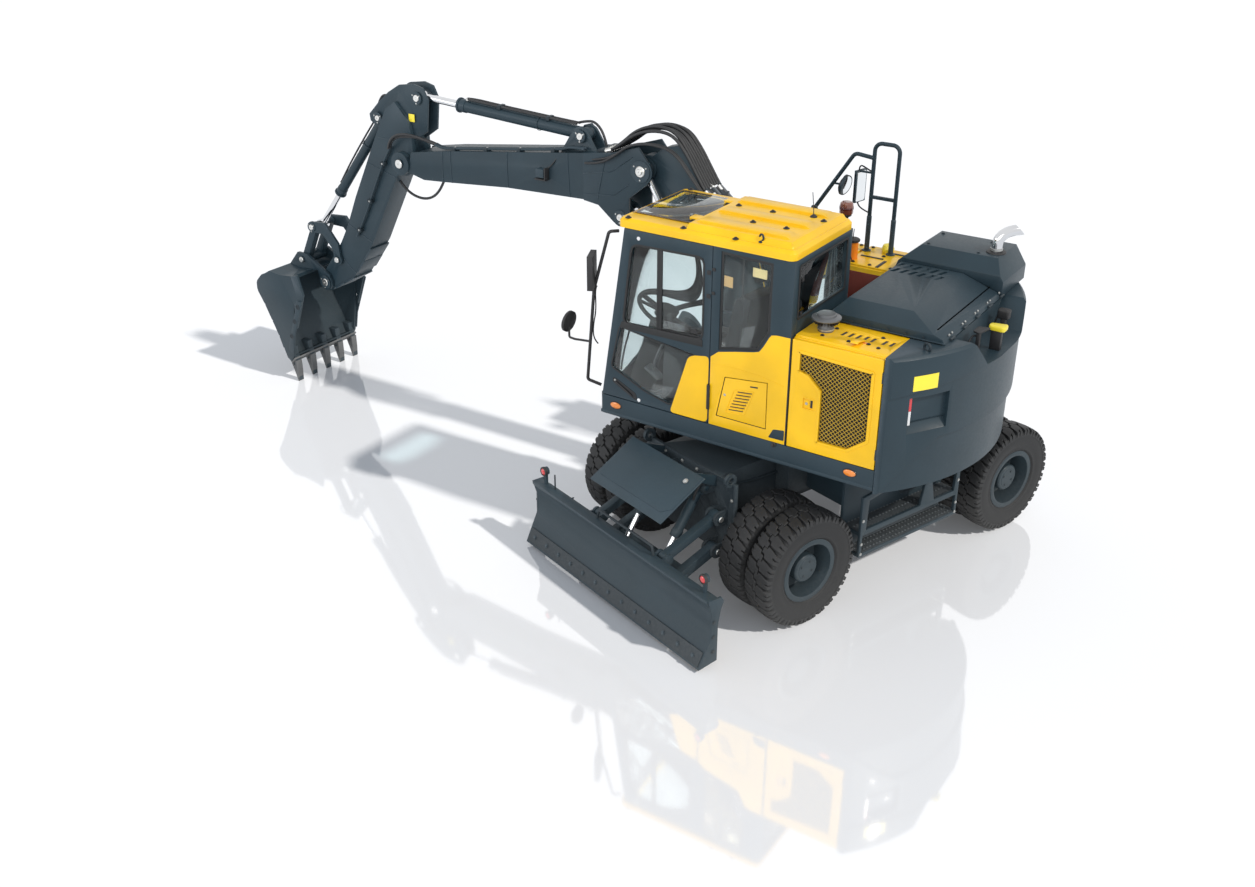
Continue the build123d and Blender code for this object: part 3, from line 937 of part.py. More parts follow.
with BuildPart() as adjust_rod:
    rod(ADJUST_FOOT, ADJUST_EYE, BOOM_Y, 36, 450, 66, ADJUST_EYE_HALF)
adjust_rod.part.label = "adjust_rod"
export_step(adjust_rod.part, "parts/adjust_rod.step")

with BuildPart() as arm_barrel:
    barrel(ARM_CYL_FOOT, ARM_CYL_EYE, BOOM_Y, 60, 38, 60, 1570, 60)
    roller(ARM_CYL_FOOT, BOOM_Y - 92, BOOM_Y + 92, 34)
arm_barrel.part.label = "arm_barrel"
export_step(arm_barrel.part, "parts/arm_barrel.step")

with BuildPart() as arm_rod:
    rod(ARM_CYL_FOOT, ARM_CYL_EYE, BOOM_Y, 38, 310, 66, 56)
arm_rod.part.label = "arm_rod"
export_step(arm_rod.part, "parts/arm_rod.step")

with BuildPart() as bucket_barrel:
    barrel(BUCKET_CYL_FOOT, LINK_EYE, BOOM_Y, 52, 32, 50, 1240, 60)
    roller(BUCKET_CYL_FOOT, BOOM_Y - 92, BOOM_Y + 92, 28)
bucket_barrel.part.label = "bucket_barrel"
export_step(bucket_barrel.part, "parts/bucket_barrel.step")

with BuildPart() as bucket_rod:
    rod(BUCKET_CYL_FOOT, LINK_EYE, BOOM_Y, 32, 425, 55, 50)
bucket_rod.part.label = "bucket_rod"
export_step(bucket_rod.part, "parts/bucket_rod.step")
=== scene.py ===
import bpy, json
from math import atan2, cos, hypot, pi, radians, sin
from mathutils import Matrix, Vector


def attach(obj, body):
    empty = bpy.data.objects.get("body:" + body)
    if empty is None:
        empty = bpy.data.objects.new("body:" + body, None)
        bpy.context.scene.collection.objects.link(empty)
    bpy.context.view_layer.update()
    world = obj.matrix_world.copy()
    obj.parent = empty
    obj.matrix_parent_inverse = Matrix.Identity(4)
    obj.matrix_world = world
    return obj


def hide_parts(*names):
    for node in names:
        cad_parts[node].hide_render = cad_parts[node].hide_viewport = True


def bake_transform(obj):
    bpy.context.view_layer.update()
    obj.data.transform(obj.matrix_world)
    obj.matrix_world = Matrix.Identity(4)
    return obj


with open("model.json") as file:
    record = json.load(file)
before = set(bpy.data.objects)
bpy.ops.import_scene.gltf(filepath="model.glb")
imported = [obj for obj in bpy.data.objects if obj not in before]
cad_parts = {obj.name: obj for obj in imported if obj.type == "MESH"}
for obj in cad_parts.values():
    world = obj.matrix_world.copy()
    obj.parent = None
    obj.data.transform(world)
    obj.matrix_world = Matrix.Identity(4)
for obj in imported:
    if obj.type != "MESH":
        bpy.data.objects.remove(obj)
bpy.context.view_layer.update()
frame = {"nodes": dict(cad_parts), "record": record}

# The studio: a pale seamless floor that keeps a soft mirror image of the machine, white all
# round, a low warm sun from behind its right side, a wide fill from the front left, and the camera.
bpy.ops.mesh.primitive_plane_add(size=90, location=(0, 0, 0))
floor = bpy.context.object
floor.name = "studio_floor"
bpy.ops.object.mode_set(mode="EDIT")
bpy.ops.mesh.subdivide(number_cuts=8)
bpy.ops.object.mode_set(mode="OBJECT")


def feed(tree, made, feeds):
    """Sets a shader node's inputs, each to a value or to another node's output."""
    for socket, value in feeds.items():
        if isinstance(value, bpy.types.NodeSocket):
            tree.links.new(value, made.inputs[socket])
        else:
            made.inputs[socket].default_value = value


def shader(tree, kind, feeds=None, **settings):
    """Adds a shader node with its settings and its inputs."""
    made = tree.nodes.new("ShaderNode" + kind)
    for setting, value in settings.items():
        setattr(made, setting, value)
    feed(tree, made, feeds or {})
    return made


floor_look = bpy.data.materials.new("floor_white")
floor_look.use_nodes = True
net = floor_look.node_tree
net.nodes.clear()
matt = shader(net, "BsdfDiffuse", {"Color": (0.80, 0.80, 0.81, 1)})
glow = shader(net, "Emission", {"Color": (1, 1, 1, 1), "Strength": 0.11})
lit = shader(net, "AddShader", {0: matt.outputs[0], 1: glow.outputs[0]})
gloss = shader(net, "BsdfGlossy", {"Roughness": 0.05})
shine = shader(net, "MixShader", {"Fac": 0.27, 1: lit.outputs[0], 2: gloss.outputs[0]})
plain = shader(net, "BsdfDiffuse", {"Color": (0.8, 0.8, 0.8, 1)})
seen = shader(net, "LightPath").outputs
either = shader(net, "Math", {0: seen["Is Camera Ray"], 1: seen["Is Transmission Ray"]},
                operation="MAXIMUM")
choose = shader(net, "MixShader", {"Fac": either.outputs[0], 1: plain.outputs[0], 2: shine.outputs[0]})
shader(net, "OutputMaterial", {"Surface": choose.outputs[0]})
floor.data.materials.append(floor_look)

sky = bpy.data.worlds.new("studio_white")
bpy.context.scene.world = sky
sky.use_nodes = True
net = sky.node_tree
net.nodes.clear()
white = shader(net, "Background", {"Color": (1, 1, 1, 1)})
dim = shader(net, "Background", {"Color": (0.80, 0.88, 1.0, 1), "Strength": 0.55})
rays = shader(net, "LightPath").outputs
straight = shader(net, "Math", {0: rays["Is Camera Ray"], 1: rays["Is Transmission Ray"]},
                  operation="MAXIMUM")
mirrored = shader(net, "Math", {0: straight.outputs[0], 1: rays["Is Glossy Ray"]}, operation="MAXIMUM")
mix = shader(net, "MixShader", {"Fac": mirrored.outputs[0], 1: dim.outputs[0], 2: white.outputs[0]})
shader(net, "OutputWorld", {"Surface": mix.outputs[0]})


def lamp(name, kind, place, aim, energy, colour, size):
    """A studio lamp at a place, turned towards a point."""
    data = bpy.data.lights.new(name, kind)
    data.energy = energy
    data.color = colour
    if kind == "SUN":
        data.angle = size
    else:
        data.shape = "RECTANGLE"
        data.size, data.size_y = size
    obj = bpy.data.objects.new(name, data)
    bpy.context.scene.collection.objects.link(obj)
    obj.location = place
    obj.rotation_euler = (Vector(aim) - Vector(place)).to_track_quat("-Z", "Y").to_euler()
    return obj


lamp("sun_behind", "SUN", (-7.45, -0.3, 7.0), (0, 0, 0), 1.5, (1.0, 0.96, 0.90), radians(2))
floor_sun = lamp("floor_sun", "SUN", (-7.45, -0.3, 7.0), (0, 0, 0), 2.2, (1.0, 0.985, 0.96), radians(2))
lit_by_it = bpy.data.collections.new("lit_by_floor_sun")
lit_by_it.objects.link(floor)
floor_sun.light_linking.receiver_collection = lit_by_it
fills = bpy.data.collections.new("all_but_floor")
fills.objects.link(floor)
fills.collection_objects[0].light_linking.link_state = "EXCLUDE"
for fill in (lamp("fill_front_left", "AREA", (-3, 11, 8), (1, 0, 1.5), 620, (1.0, 0.98, 0.96), (9, 6)),
             lamp("fill_boom_side", "AREA", (9, 9, 6), (3, 0, 1.5), 300, (0.95, 0.97, 1.0), (7, 5))):
    fill.light_linking.receiver_collection = fills

view = bpy.data.cameras.new("photo_view")
view.sensor_fit = "HORIZONTAL"
view.sensor_width = 36
view.lens = 37.12
view.clip_end = 300
camera = bpy.data.objects.new("photo_view", view)
bpy.context.scene.collection.objects.link(camera)
camera.location = (-4.661, 9.780, 6.348)
camera.rotation_euler = (radians(90 - 27.035), 0, radians(-56.094 - 90))
bpy.context.scene.camera = camera
bpy.context.scene.view_settings.view_transform = "Standard"

# The undercarriage frame: welded steel plate and box, painted slate, with the sloping cover
# over the blade's linkage. Its edges are ground round before it is painted.


def group(name, inputs, outputs):
    """An empty shader node group with named sockets."""
    g = bpy.data.node_groups.new(name, "ShaderNodeTree")
    for label, kind, value in inputs:
        s = g.interface.new_socket(label, in_out="INPUT", socket_type=kind)
        s.default_value = value
    for label, kind in outputs:
        g.interface.new_socket(label, in_out="OUTPUT", socket_type=kind)
    return g, g.nodes.new("NodeGroupInput"), g.nodes.new("NodeGroupOutput")


# Sprayed paint: slow colour drift, fine orange peel, dust low down and edges rubbed lighter.
spray, given, made = group("sprayed_paint", (("Paint", "NodeSocketColor", (0.5, 0.5, 0.5, 1)),
                                             ("Rubbed", "NodeSocketColor", (0.6, 0.6, 0.6, 1)),
                                             ("Rub", "NodeSocketFloat", 0.5),
                                             ("Dust", "NodeSocketFloat", 0.2),
                                             ("Gloss", "NodeSocketFloat", 0.35)),
                           (("Colour", "NodeSocketColor"), ("Roughness", "NodeSocketFloat"),
                            ("Height", "NodeSocketFloat")))


def maths(operation, *terms):
    """A maths node in the paint's group, with its terms in order."""
    return shader(spray, "Math", dict(enumerate(terms)), operation=operation).outputs[0]


where = shader(spray, "TexCoord").outputs["Object"]
drift = shader(spray, "TexNoise", {"Vector": where, "Scale": 2.3, "Detail": 4})
peel = shader(spray, "TexNoise", {"Vector": where, "Scale": 170, "Detail": 2})
spots = shader(spray, "TexNoise", {"Vector": where, "Scale": 38, "Detail": 6,
                                   "Roughness": 0.7}).outputs["Fac"]
shade = shader(spray, "MapRange", {"Value": drift.outputs["Fac"], "From Min": 0.3, "From Max": 0.7,
                                   "To Min": 0.9, "To Max": 1.1})
tone = shader(spray, "HueSaturation", {"Color": given.outputs["Paint"], "Value": shade.outputs["Result"]})
form = shader(spray, "NewGeometry")
sharp = shader(spray, "MapRange", {"Value": form.outputs["Pointiness"], "From Min": 0.53, "From Max": 0.64})
broken = maths("MULTIPLY", maths("MULTIPLY", sharp.outputs["Result"], given.outputs["Rub"]), spots)
edge = shader(spray, "Mix", {"Factor": broken, "A": tone.outputs["Color"], "B": given.outputs["Rubbed"]},
              data_type="RGBA")
apart = shader(spray, "SeparateXYZ", {0: where})
low = shader(spray, "MapRange", {"Value": apart.outputs["Z"], "From Min": 1.1, "From Max": 0.0})
film = maths("MULTIPLY", maths("MULTIPLY", low.outputs["Result"], spots), given.outputs["Dust"])
dusty = shader(spray, "Mix", {"Factor": film, "A": edge.outputs["Result"], "B": (0.22, 0.215, 0.205, 1)},
               data_type="RGBA")
rougher = maths("ADD", maths("MULTIPLY_ADD", spots, 0.22, given.outputs["Gloss"]), film)
feed(spray, made, {"Colour": dusty.outputs["Result"], "Roughness": rougher, "Height": peel.outputs["Fac"]})


def paint(name, colour, rubbed, gloss=0.3, rub=0.6, dust=0.35, metallic=0.0, coat=0.25, peel=0.06,
          sheen=0.5):
    """A sprayed paint in its own colour."""
    m = bpy.data.materials.new(name)
    m.use_nodes = True
    net = m.node_tree
    mix = shader(net, "Group", {"Paint": (*colour, 1), "Rubbed": (*rubbed, 1), "Rub": rub, "Dust": dust,
                                "Gloss": gloss}, node_tree=spray).outputs
    bump = shader(net, "Bump", {"Strength": peel, "Distance": 0.002, "Height": mix["Height"]})
    feed(net, net.nodes["Principled BSDF"], {"Base Color": mix["Colour"], "Roughness": mix["Roughness"],
                                             "Normal": bump.outputs["Normal"], "Metallic": metallic,
                                             "Coat Weight": coat, "Coat Roughness": 0.12,
                                             "Specular IOR Level": sheen})
    return m


slate = paint("slate_paint", (0.020, 0.038, 0.050), (0.11, 0.14, 0.165), gloss=0.34, dust=0.25, coat=0.04,
              sheen=0.28)
dark_steel = paint("underbody_slate", (0.015, 0.024, 0.031), (0.08, 0.10, 0.11), gloss=0.42, dust=0.35,
                   coat=0.02, sheen=0.25)
body_of = {node: body for body, nodes in frame["record"]["behaviour"]["bodies"].items() for node in nodes}


def only(made):
    """Selects one object and nothing else."""
    bpy.ops.object.select_all(action="DESELECT")
    bpy.context.view_layer.objects.active = made
    made.select_set(True)


def modify(made, name, kind, **settings):
    """Applies a modifier to the active object."""
    tool = made.modifiers.new(name, kind)
    for setting, value in settings.items():
        setattr(tool, setting, value)
    bpy.ops.object.modifier_apply(modifier=tool.name)


def normals_out():
    """Turns the active mesh's faces outward."""
    bpy.ops.object.mode_set(mode="EDIT")
    bpy.ops.mesh.select_all(action="SELECT")
    bpy.ops.mesh.normals_make_consistent(inside=False)
    bpy.ops.object.mode_set(mode="OBJECT")


def join(name, parts):
    """Several like pieces made one mesh."""
    bpy.ops.object.select_all(action="DESELECT")
    for part in parts:
        part.select_set(True)
    bpy.context.view_layer.objects.active = parts[0]
    bpy.ops.object.join()
    parts[0].name = name
    return parts[0]


def prism(name, outline, axis, low, high, rim=0.0):
    """An outline laid across one axis (0 x, 1 y, 2 z) and extruded; a rim leaves only its border."""
    bpy.ops.object.select_all(action="DESELECT")
    bpy.ops.mesh.primitive_circle_add(vertices=len(outline), radius=1, fill_type="NGON")
    made = bpy.context.object
    made.name = name
    flat = [i for i in range(3) if i != axis]
    for corner, point in zip(made.data.vertices, outline):
        corner.co[flat[0]], corner.co[flat[1]] = point
        corner.co[axis] = low
    rise = [0, 0, 0]
    rise[axis] = high - low
    bpy.ops.object.mode_set(mode="EDIT")
    bpy.ops.mesh.select_all(action="SELECT")
    if rim:
        bpy.ops.mesh.inset(thickness=rim, depth=0, use_even_offset=True)
        bpy.ops.mesh.delete(type="FACE")
        bpy.ops.mesh.select_all(action="SELECT")
    bpy.ops.mesh.extrude_region_move(TRANSFORM_OT_translate={"value": rise})
    normals_out()
    return made


def carve(made, cutters):
    """Cuts openings or pockets out of a piece with prisms."""
    tool = join("cutter", cutters)
    only(made)
    modify(made, "openings", "BOOLEAN", operation="DIFFERENCE", solver="EXACT", object=tool)
    bpy.data.objects.remove(tool)


def edged(node, look, width=0.006, segments=2, angle=40, cutters=(), punched=()):
    """The CAD solid itself, its seams merged and its edges ground round, in a new look."""
    made = bpy.data.objects.new(node + "_finish", frame["nodes"][node].data.copy())
    bpy.context.scene.collection.objects.link(made)
    only(made)
    made.data.materials.clear()
    made.data.materials.append(look)
    bpy.ops.object.mode_set(mode="EDIT")
    bpy.ops.mesh.select_all(action="SELECT")
    bpy.ops.mesh.remove_doubles(threshold=0.00005)
    bpy.ops.mesh.dissolve_limited(angle_limit=radians(0.5))
    bpy.ops.object.mode_set(mode="OBJECT")
    if cutters:
        carve(made, cutters)
    modify(made, "ground_edges", "BEVEL", width=width, segments=segments, limit_method="ANGLE",
           angle_limit=radians(angle), miter_outer="MITER_ARC")
    if punched:
        carve(made, punched)
    only(made)
    bpy.ops.object.shade_smooth_by_angle(angle=radians(32))
    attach(made, body_of[node])
    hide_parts(node)
    return made


# The undercarriage's pieces are drawn straight, then turned under the upper part by this angle.
SWING = radians(71.1)
SWUNG = ("undercarriage", "blade", "wheel", "knuckle")


def settle(made, look, body, edge=0.0, segments=2, smooth=32, fixed=True):
    """Grinds a modelled piece's edges, paints it, puts its place into its mesh and fixes it to a body."""
    only(made)
    if edge:
        modify(made, "ground_edges", "BEVEL", width=edge, segments=segments, limit_method="ANGLE",
               angle_limit=radians(35))
    bpy.ops.object.transform_apply(location=True, rotation=True, scale=True)
    if body.startswith(SWUNG):
        made.data.transform(Matrix.Rotation(SWING, 4, "Z"))
    bpy.ops.object.shade_smooth_by_angle(angle=radians(smooth))
    made.data.materials.clear()
    made.data.materials.append(look)
    if fixed:
        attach(made, body)
    return made


def plate(name, outline, axis, low, high, look, body, edge=0.003, segments=2, rim=0.0, cutters=()):
    """A plate cut to an outline, ground, painted and fixed to a body."""
    made = prism(name, outline, axis, low, high, rim)
    if cutters:
        carve(made, cutters)
    return settle(made, look, body, edge, segments)


def spun(name, outline, axis, steps):
    """A mesh ring: an open outline of points turned about an axis through the origin."""
    bpy.ops.object.select_all(action="DESELECT")
    bpy.ops.mesh.primitive_circle_add(vertices=len(outline), radius=1, fill_type="NOTHING")
    made = bpy.context.object
    made.name = name
    for corner, point in zip(made.data.vertices, outline):
        corner.co = point
    bpy.ops.object.mode_set(mode="EDIT")
    bpy.ops.mesh.select_all(action="SELECT")
    bpy.ops.mesh.spin(steps=steps, angle=2 * pi, center=(0, 0, 0), axis=axis)
    bpy.ops.mesh.select_all(action="SELECT")
    bpy.ops.mesh.remove_doubles(threshold=0.0001)
    normals_out()
    return made


def turned(name, section, place, axis, look, body, steps=40, smooth=32):
    """A turned piece: a section of (radius, height) points spun about an axis through a place."""
    made = spun(name, [(radius, 0, height) for radius, height in section], (0, 0, 1), steps)
    made.data.transform(Vector((0, 0, 1)).rotation_difference(Vector(axis)).to_matrix().to_4x4())
    made.data.transform(Matrix.Translation(place))
    return settle(made, look, body, smooth=smooth)


def ring(radius, wide, high, corners=8):
    """A ring's section: an oval at a radius."""
    turns = [2 * pi * i / corners for i in range(corners)]
    return [(radius + wide * cos(a), high * sin(a)) for a in turns]


def tube(name, points, radius, look, body, order=3, sides=3, between=None):
    """A pipe or hose along a smooth line near its bends; between names the two bodies that it joins."""
    bpy.ops.object.select_all(action="DESELECT")
    bpy.ops.curve.primitive_nurbs_path_add()
    line = bpy.context.object
    line.name = name
    line.data.splines.clear()
    way = line.data.splines.new("NURBS")
    way.points.add(len(points) - 1)
    for spot, point in zip(way.points, points):
        spot.co = (*point, 1)
    way.order_u = order
    way.use_endpoint_u = True
    way.resolution_u = 8
    line.data.dimensions = "3D"
    line.data.bevel_depth = radius
    line.data.bevel_resolution = sides
    line.data.use_fill_caps = True
    bpy.ops.object.convert(target="MESH")
    made = bpy.context.object
    if between:
        settle(made, look, between[0], smooth=60, fixed=False)
        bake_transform(made)
        return made
    return settle(made, look, body, smooth=60)


def bolts(name, places, axis, radius, look, body, height=0.6):
    """Hexagon heads on washers, modelled once and copied to each place."""
    bpy.ops.object.select_all(action="DESELECT")
    bpy.ops.mesh.primitive_cylinder_add(vertices=6, radius=radius, depth=radius * height,
                                        location=(0, 0, radius * height / 2 + radius * 0.2))
    head = bpy.context.object
    bpy.ops.object.transform_apply(location=True)
    bpy.ops.object.mode_set(mode="EDIT")
    bpy.ops.mesh.select_all(action="SELECT")
    bpy.ops.mesh.bevel(offset=radius * 0.12, segments=1, affect="EDGES")
    bpy.ops.object.mode_set(mode="OBJECT")
    bpy.ops.mesh.primitive_cylinder_add(vertices=16, radius=radius * 1.35, depth=radius * 0.22,
                                        location=(0, 0, radius * 0.11))
    washer = bpy.context.object
    bpy.ops.object.transform_apply(location=True)
    one = join(name, [head, washer])
    one.data.transform(Vector((0, 0, 1)).rotation_difference(Vector(axis)).to_matrix().to_4x4())
    all_of = [one]
    for place in places[1:]:
        more = bpy.data.objects.new(name, one.data.copy())
        more.data.transform(Matrix.Translation(place))
        bpy.context.scene.collection.objects.link(more)
        all_of.append(more)
    one.data.transform(Matrix.Translation(places[0]))
    return settle(join(name, all_of), look, body)


for node in ("chassis", "rear_axle", "front_axle", "driveline", "knuckle_left", "knuckle_right"):
    edged(node, dark_steel, 0.008)
edged("cover_plate", slate, 0.003)
zinc = paint("zinc_bolt", (0.42, 0.43, 0.42), (0.7, 0.7, 0.7), gloss=0.3, metallic=0.9, coat=0, dust=0.3)
plate("cover_plate_skin", ((1.575, 0.475), (1.575, -0.475), (1.98, -0.475), (2.015, -0.44), (2.015, 0.40),
                           (1.94, 0.475)), 2, 1.226, 1.232, slate, "undercarriage",
      0.002).data.transform(Matrix.Rotation(SWING, 4, "Z") @ Matrix.Translation((1.56, 0,
          1.235)) @ Matrix.Rotation(atan2(0.267, 0.47), 4, "Y") @ Matrix.Translation((-1.56, 0,
              -1.228)) @ Matrix.Rotation(-SWING, 4, "Z"))
bolts("cover_plate_bolt", [(1.66, 0.36, 1.187)], (0.494, 0, 0.87), 0.018, zinc, "undercarriage")
SIDES = (("left", -1), ("right", 1))
for side, s in SIDES:
    bolts("axle_seat_bolts_" + side, [(1.04 + dx, s * (0.30 + dy), 0.635) for dx in (-0.06,
        0.06) for dy in (-0.05, 0.05)], (0, 0, 1), 0.014, zinc, "undercarriage")
    turned("tie_down_ring_" + side, ring(0.033, 0.010, 0.018), (1.33, s * 0.545, 1.16), (0, 1, 0),
           dark_steel, "undercarriage", 24)
    tube("brake_hose_" + side, [(-1.45, s * 0.30, 0.74), (-1.40, s * 0.42, 0.78), (-1.46, s * 0.56, 0.76),
                                (-1.5, s * 0.62, 0.66)], 0.011, dark_steel, "undercarriage")
    tube("frame_line_" + side, [(-1.3, s * 0.392, 1.02), (-0.5, s * 0.392, 1.02), (-0.3, s * 0.392, 0.96),
                                (0.9, s * 0.392, 0.96), (1.1, s * 0.392, 1.0), (1.27, s * 0.392, 1.0)],
         0.010, dark_steel, "undercarriage")
bolts("end_plate_bolts", [(1.316, s * y, z) for s in (-1, 1) for y,
                          z in ((0.56, 0.47), (0.56, 0.72), (0.56, 0.97), (0.33, 1.08), (0.1, 1.08))],
      (1, 0, 0), 0.013, zinc, "undercarriage")
for x, s in ((0.285, 1), (0.75, -1), (-0.285, -1), (-1.29, 1)):
    turned("propshaft_joint_%d" % (100 * x), [(0.0, 0.0), (0.072, 0.0), (0.072, 0.012), (0.05, 0.03),
                                              (0.05, 0.05), (0.0, 0.05)], (x, 0, 0.52), (s, 0, 0),
           dark_steel, "undercarriage", 20)
tube("steering_rod", [(-1.73, -0.60, 0.52), (-1.73, 0.0, 0.52), (-1.73, 0.60, 0.52)], 0.018, zinc,
     "undercarriage")

# Twin tyres: cross-ply construction tyres of moulded rubber. Each has a carcass turned from one
# section, with 28 interlocking lugs a side that wrap over its shoulder; two share each wheel.
rubber = paint("tyre_rubber", (0.013, 0.0137, 0.015), (0.045, 0.046, 0.047), gloss=0.42, rub=0.8, dust=0.25,
               sheen=0.3, coat=0.0, peel=0.25)
half = [(0.104, 0.256), (0.112, 0.262), (0.1125, 0.292), (0.119, 0.300), (0.127, 0.306), (0.1295, 0.316),
        (0.127, 0.326), (0.133, 0.352), (0.1375, 0.392), (0.1375, 0.428), (0.1355, 0.446), (0.1375, 0.452),
        (0.134, 0.464), (0.124, 0.478), (0.105, 0.486), (0.06, 0.490), (0.0, 0.492)]
section = half + [(-v, r) for v, r in reversed(half[:-1])] + [(-0.09, 0.2545), (0.09, 0.2545)]
carcass = spun("carcass", [(0, across, radius) for across, radius in section], (0, 1, 0), 72)
TYRE_RADIUS = 0.52
LUGS = 28
# rows of one lug: place across the tread, then left and right edge round it
rows = ((-0.014, -0.025, 0.025), (0.019, -0.025, 0.025), (0.027, -0.050, 0.050), (0.078, -0.053, 0.047),
        (0.108, -0.046, 0.042), (0.134, -0.040, 0.036))
bpy.ops.object.select_all(action="DESELECT")
bpy.ops.mesh.primitive_grid_add(x_subdivisions=3, y_subdivisions=5, size=1)
lug = bpy.context.object
for i, corner in enumerate(lug.data.vertices):
    across, left, right = rows[i // 4]
    middle = (left + right) / 2
    swept = (left, middle - 0.006, middle + 0.006, right)[i % 4] + 0.30 * (across - 0.014)
    corner.co = (swept, across, 0)


def drop_faces(made, unwanted):
    """Deletes the active mesh's faces that a test picks out."""
    bpy.ops.object.mode_set(mode="EDIT")
    bpy.ops.mesh.select_mode(type="FACE")
    bpy.ops.mesh.select_all(action="DESELECT")
    bpy.ops.object.mode_set(mode="OBJECT")
    for face in made.data.polygons:
        face.select = unwanted(face)
    bpy.ops.object.mode_set(mode="EDIT")
    bpy.ops.mesh.delete(type="FACE")
    bpy.ops.object.mode_set(mode="OBJECT")


def notch(face):
    """Whether a face is the middle one at a lug's shoulder end, which is left open."""
    row = [other.center.x for other in lug.data.polygons if abs(other.center.y - face.center.y) < 0.004]
    return face.center.y > 0.11 and len([x for x in row if x < face.center.x]) == 1


drop_faces(lug, notch)
bpy.ops.object.mode_set(mode="EDIT")
bpy.ops.mesh.select_all(action="SELECT")
bpy.ops.mesh.extrude_region_move(TRANSFORM_OT_translate={"value": (0, 0, 1)})
bpy.ops.mesh.inset(thickness=0.0035, depth=0)
bpy.ops.transform.translate(value=(0, 0, 0.15))
normals_out()


def wrapped(corner, turn, flip):
    """A lug's corner laid on the tread: its foot in the carcass, its top on the crown."""
    along, across, level = corner
    crown = 0.5195 - 0.55 * across * across - max(0.0, abs(across) - 0.105) * 0.35
    foot = 0.483 - max(0.0, abs(across) - 0.118) * 2.2
    radius = foot if level < 0.5 else crown - (0.0035 if level < 1.1 else 0)
    flare = 1.06 if level < 0.5 else 1.0
    across = min(0.1382, across * (1.03 if level < 0.5 and across > 0.1 else 1))
    angle = flip * along * flare / TYRE_RADIUS + turn
    return Vector((radius * sin(angle), flip * across, radius * cos(angle)))


lugs = []
for k in range(LUGS):
    for flip in (1, -1):
        turn = (k + (0.5 if flip < 0 else 0)) * 2 * pi / LUGS
        one = bpy.data.objects.new("lug", lug.data.copy())
        bpy.context.scene.collection.objects.link(one)
        for corner in one.data.vertices:
            corner.co = wrapped(corner.co, turn, flip)
        lugs.append(one)
bpy.data.objects.remove(lug)
tyre = join("tyre", [carcass] + lugs)
tyre.data.materials.clear()
tyre.data.materials.append(rubber)
bpy.ops.object.shade_smooth_by_angle(angle=radians(28))
AXLES = (("rear", 1.04), ("front", -1.58))
AXLE_Z = TYRE_RADIUS
for end, axle_x in AXLES:
    for name, s in SIDES:
        for row, middle in (("inner", 0.801), ("outer", 1.131)):
            one = bpy.data.objects.new(f"tyre_{end}_{name}_{row}", tyre.data.copy())
            bpy.context.scene.collection.objects.link(one)
            rolled = 0.07 * (1 if row == "inner" else 2) + axle_x
            one.data.transform(Matrix.Translation((axle_x, s * middle, AXLE_Z)) @ Matrix.Rotation(rolled, 4,
                "Y"))
            one.data.transform(Matrix.Rotation(SWING, 4, "Z"))
            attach(one, f"wheel_{end}_{name}")
        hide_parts(f"tyres_{end}_{name}")
bpy.data.objects.remove(tyre)

# Wheels: pressed rims and a dished disc, painted slate, bolted through to the planetary hub,
# whose cover has four drain plugs. Nuts, valve stem and cover are added to the rim's own solid.
wheel_paint = paint("wheel_slate", (0.020, 0.036, 0.046), (0.11, 0.14, 0.16), gloss=0.30, dust=0.25,
                    coat=0.04, sheen=0.3)
for end, axle_x in AXLES:
    for name, s in SIDES:
        edged(f"rims_{end}_{name}", wheel_paint, 0.004)
        wheel, outward = f"wheel_{end}_{name}", (0, s, 0)
        turned(f"hub_cover_{end}_{name}", [(0.0, 0.0), (0.0, 0.006), (0.088, 0.006), (0.092, 0.003),
                                           (0.108, 0.003), (0.112, 0.0)], (axle_x, s * 1.208, AXLE_Z),
               outward, wheel_paint, wheel, 48)
        bolts(f"hub_plugs_{end}_{name}", [(axle_x + 0.068 * cos(a + 0.5), s * 1.213,
                                           AXLE_Z + 0.068 * sin(a + 0.5)) for a in (0, pi / 2, pi,
                                               3 * pi / 2)], outward, 0.009, dark_steel, wheel)
        bolts(f"wheel_nuts_{end}_{name}", [(axle_x + 0.205 * cos(2 * pi * i / 10), s * 1.013,
                                            AXLE_Z + 0.205 * sin(2 * pi * i / 10)) for i in range(10)],
              outward, 0.017, zinc, wheel, height=1.0)
        tube(f"valve_stem_{end}_{name}", [(axle_x + 0.15, s * 1.05, 0.67),
                                          (axle_x + 0.155, s * 1.12, 0.676),
                                          (axle_x + 0.158, s * 1.17, 0.68)], 0.0065, zinc, wheel)

# The steps at each side: folded plate with punched, toothed treads and a ladder window between
# its posts, bolted to the frame, with tool lockers behind them.
tread_plate = paint("tread_plate", (0.015, 0.022, 0.028), (0.13, 0.15, 0.16), gloss=0.45, dust=0.4, rub=1.0,
                    coat=0)
edged("access_steps", slate, 0.003)


def rect(x0, y0, x1, y1):
    """A rectangle's four corners, from one corner to the opposite one."""
    return (x0, y0), (x1, y0), (x1, y1), (x0, y1)


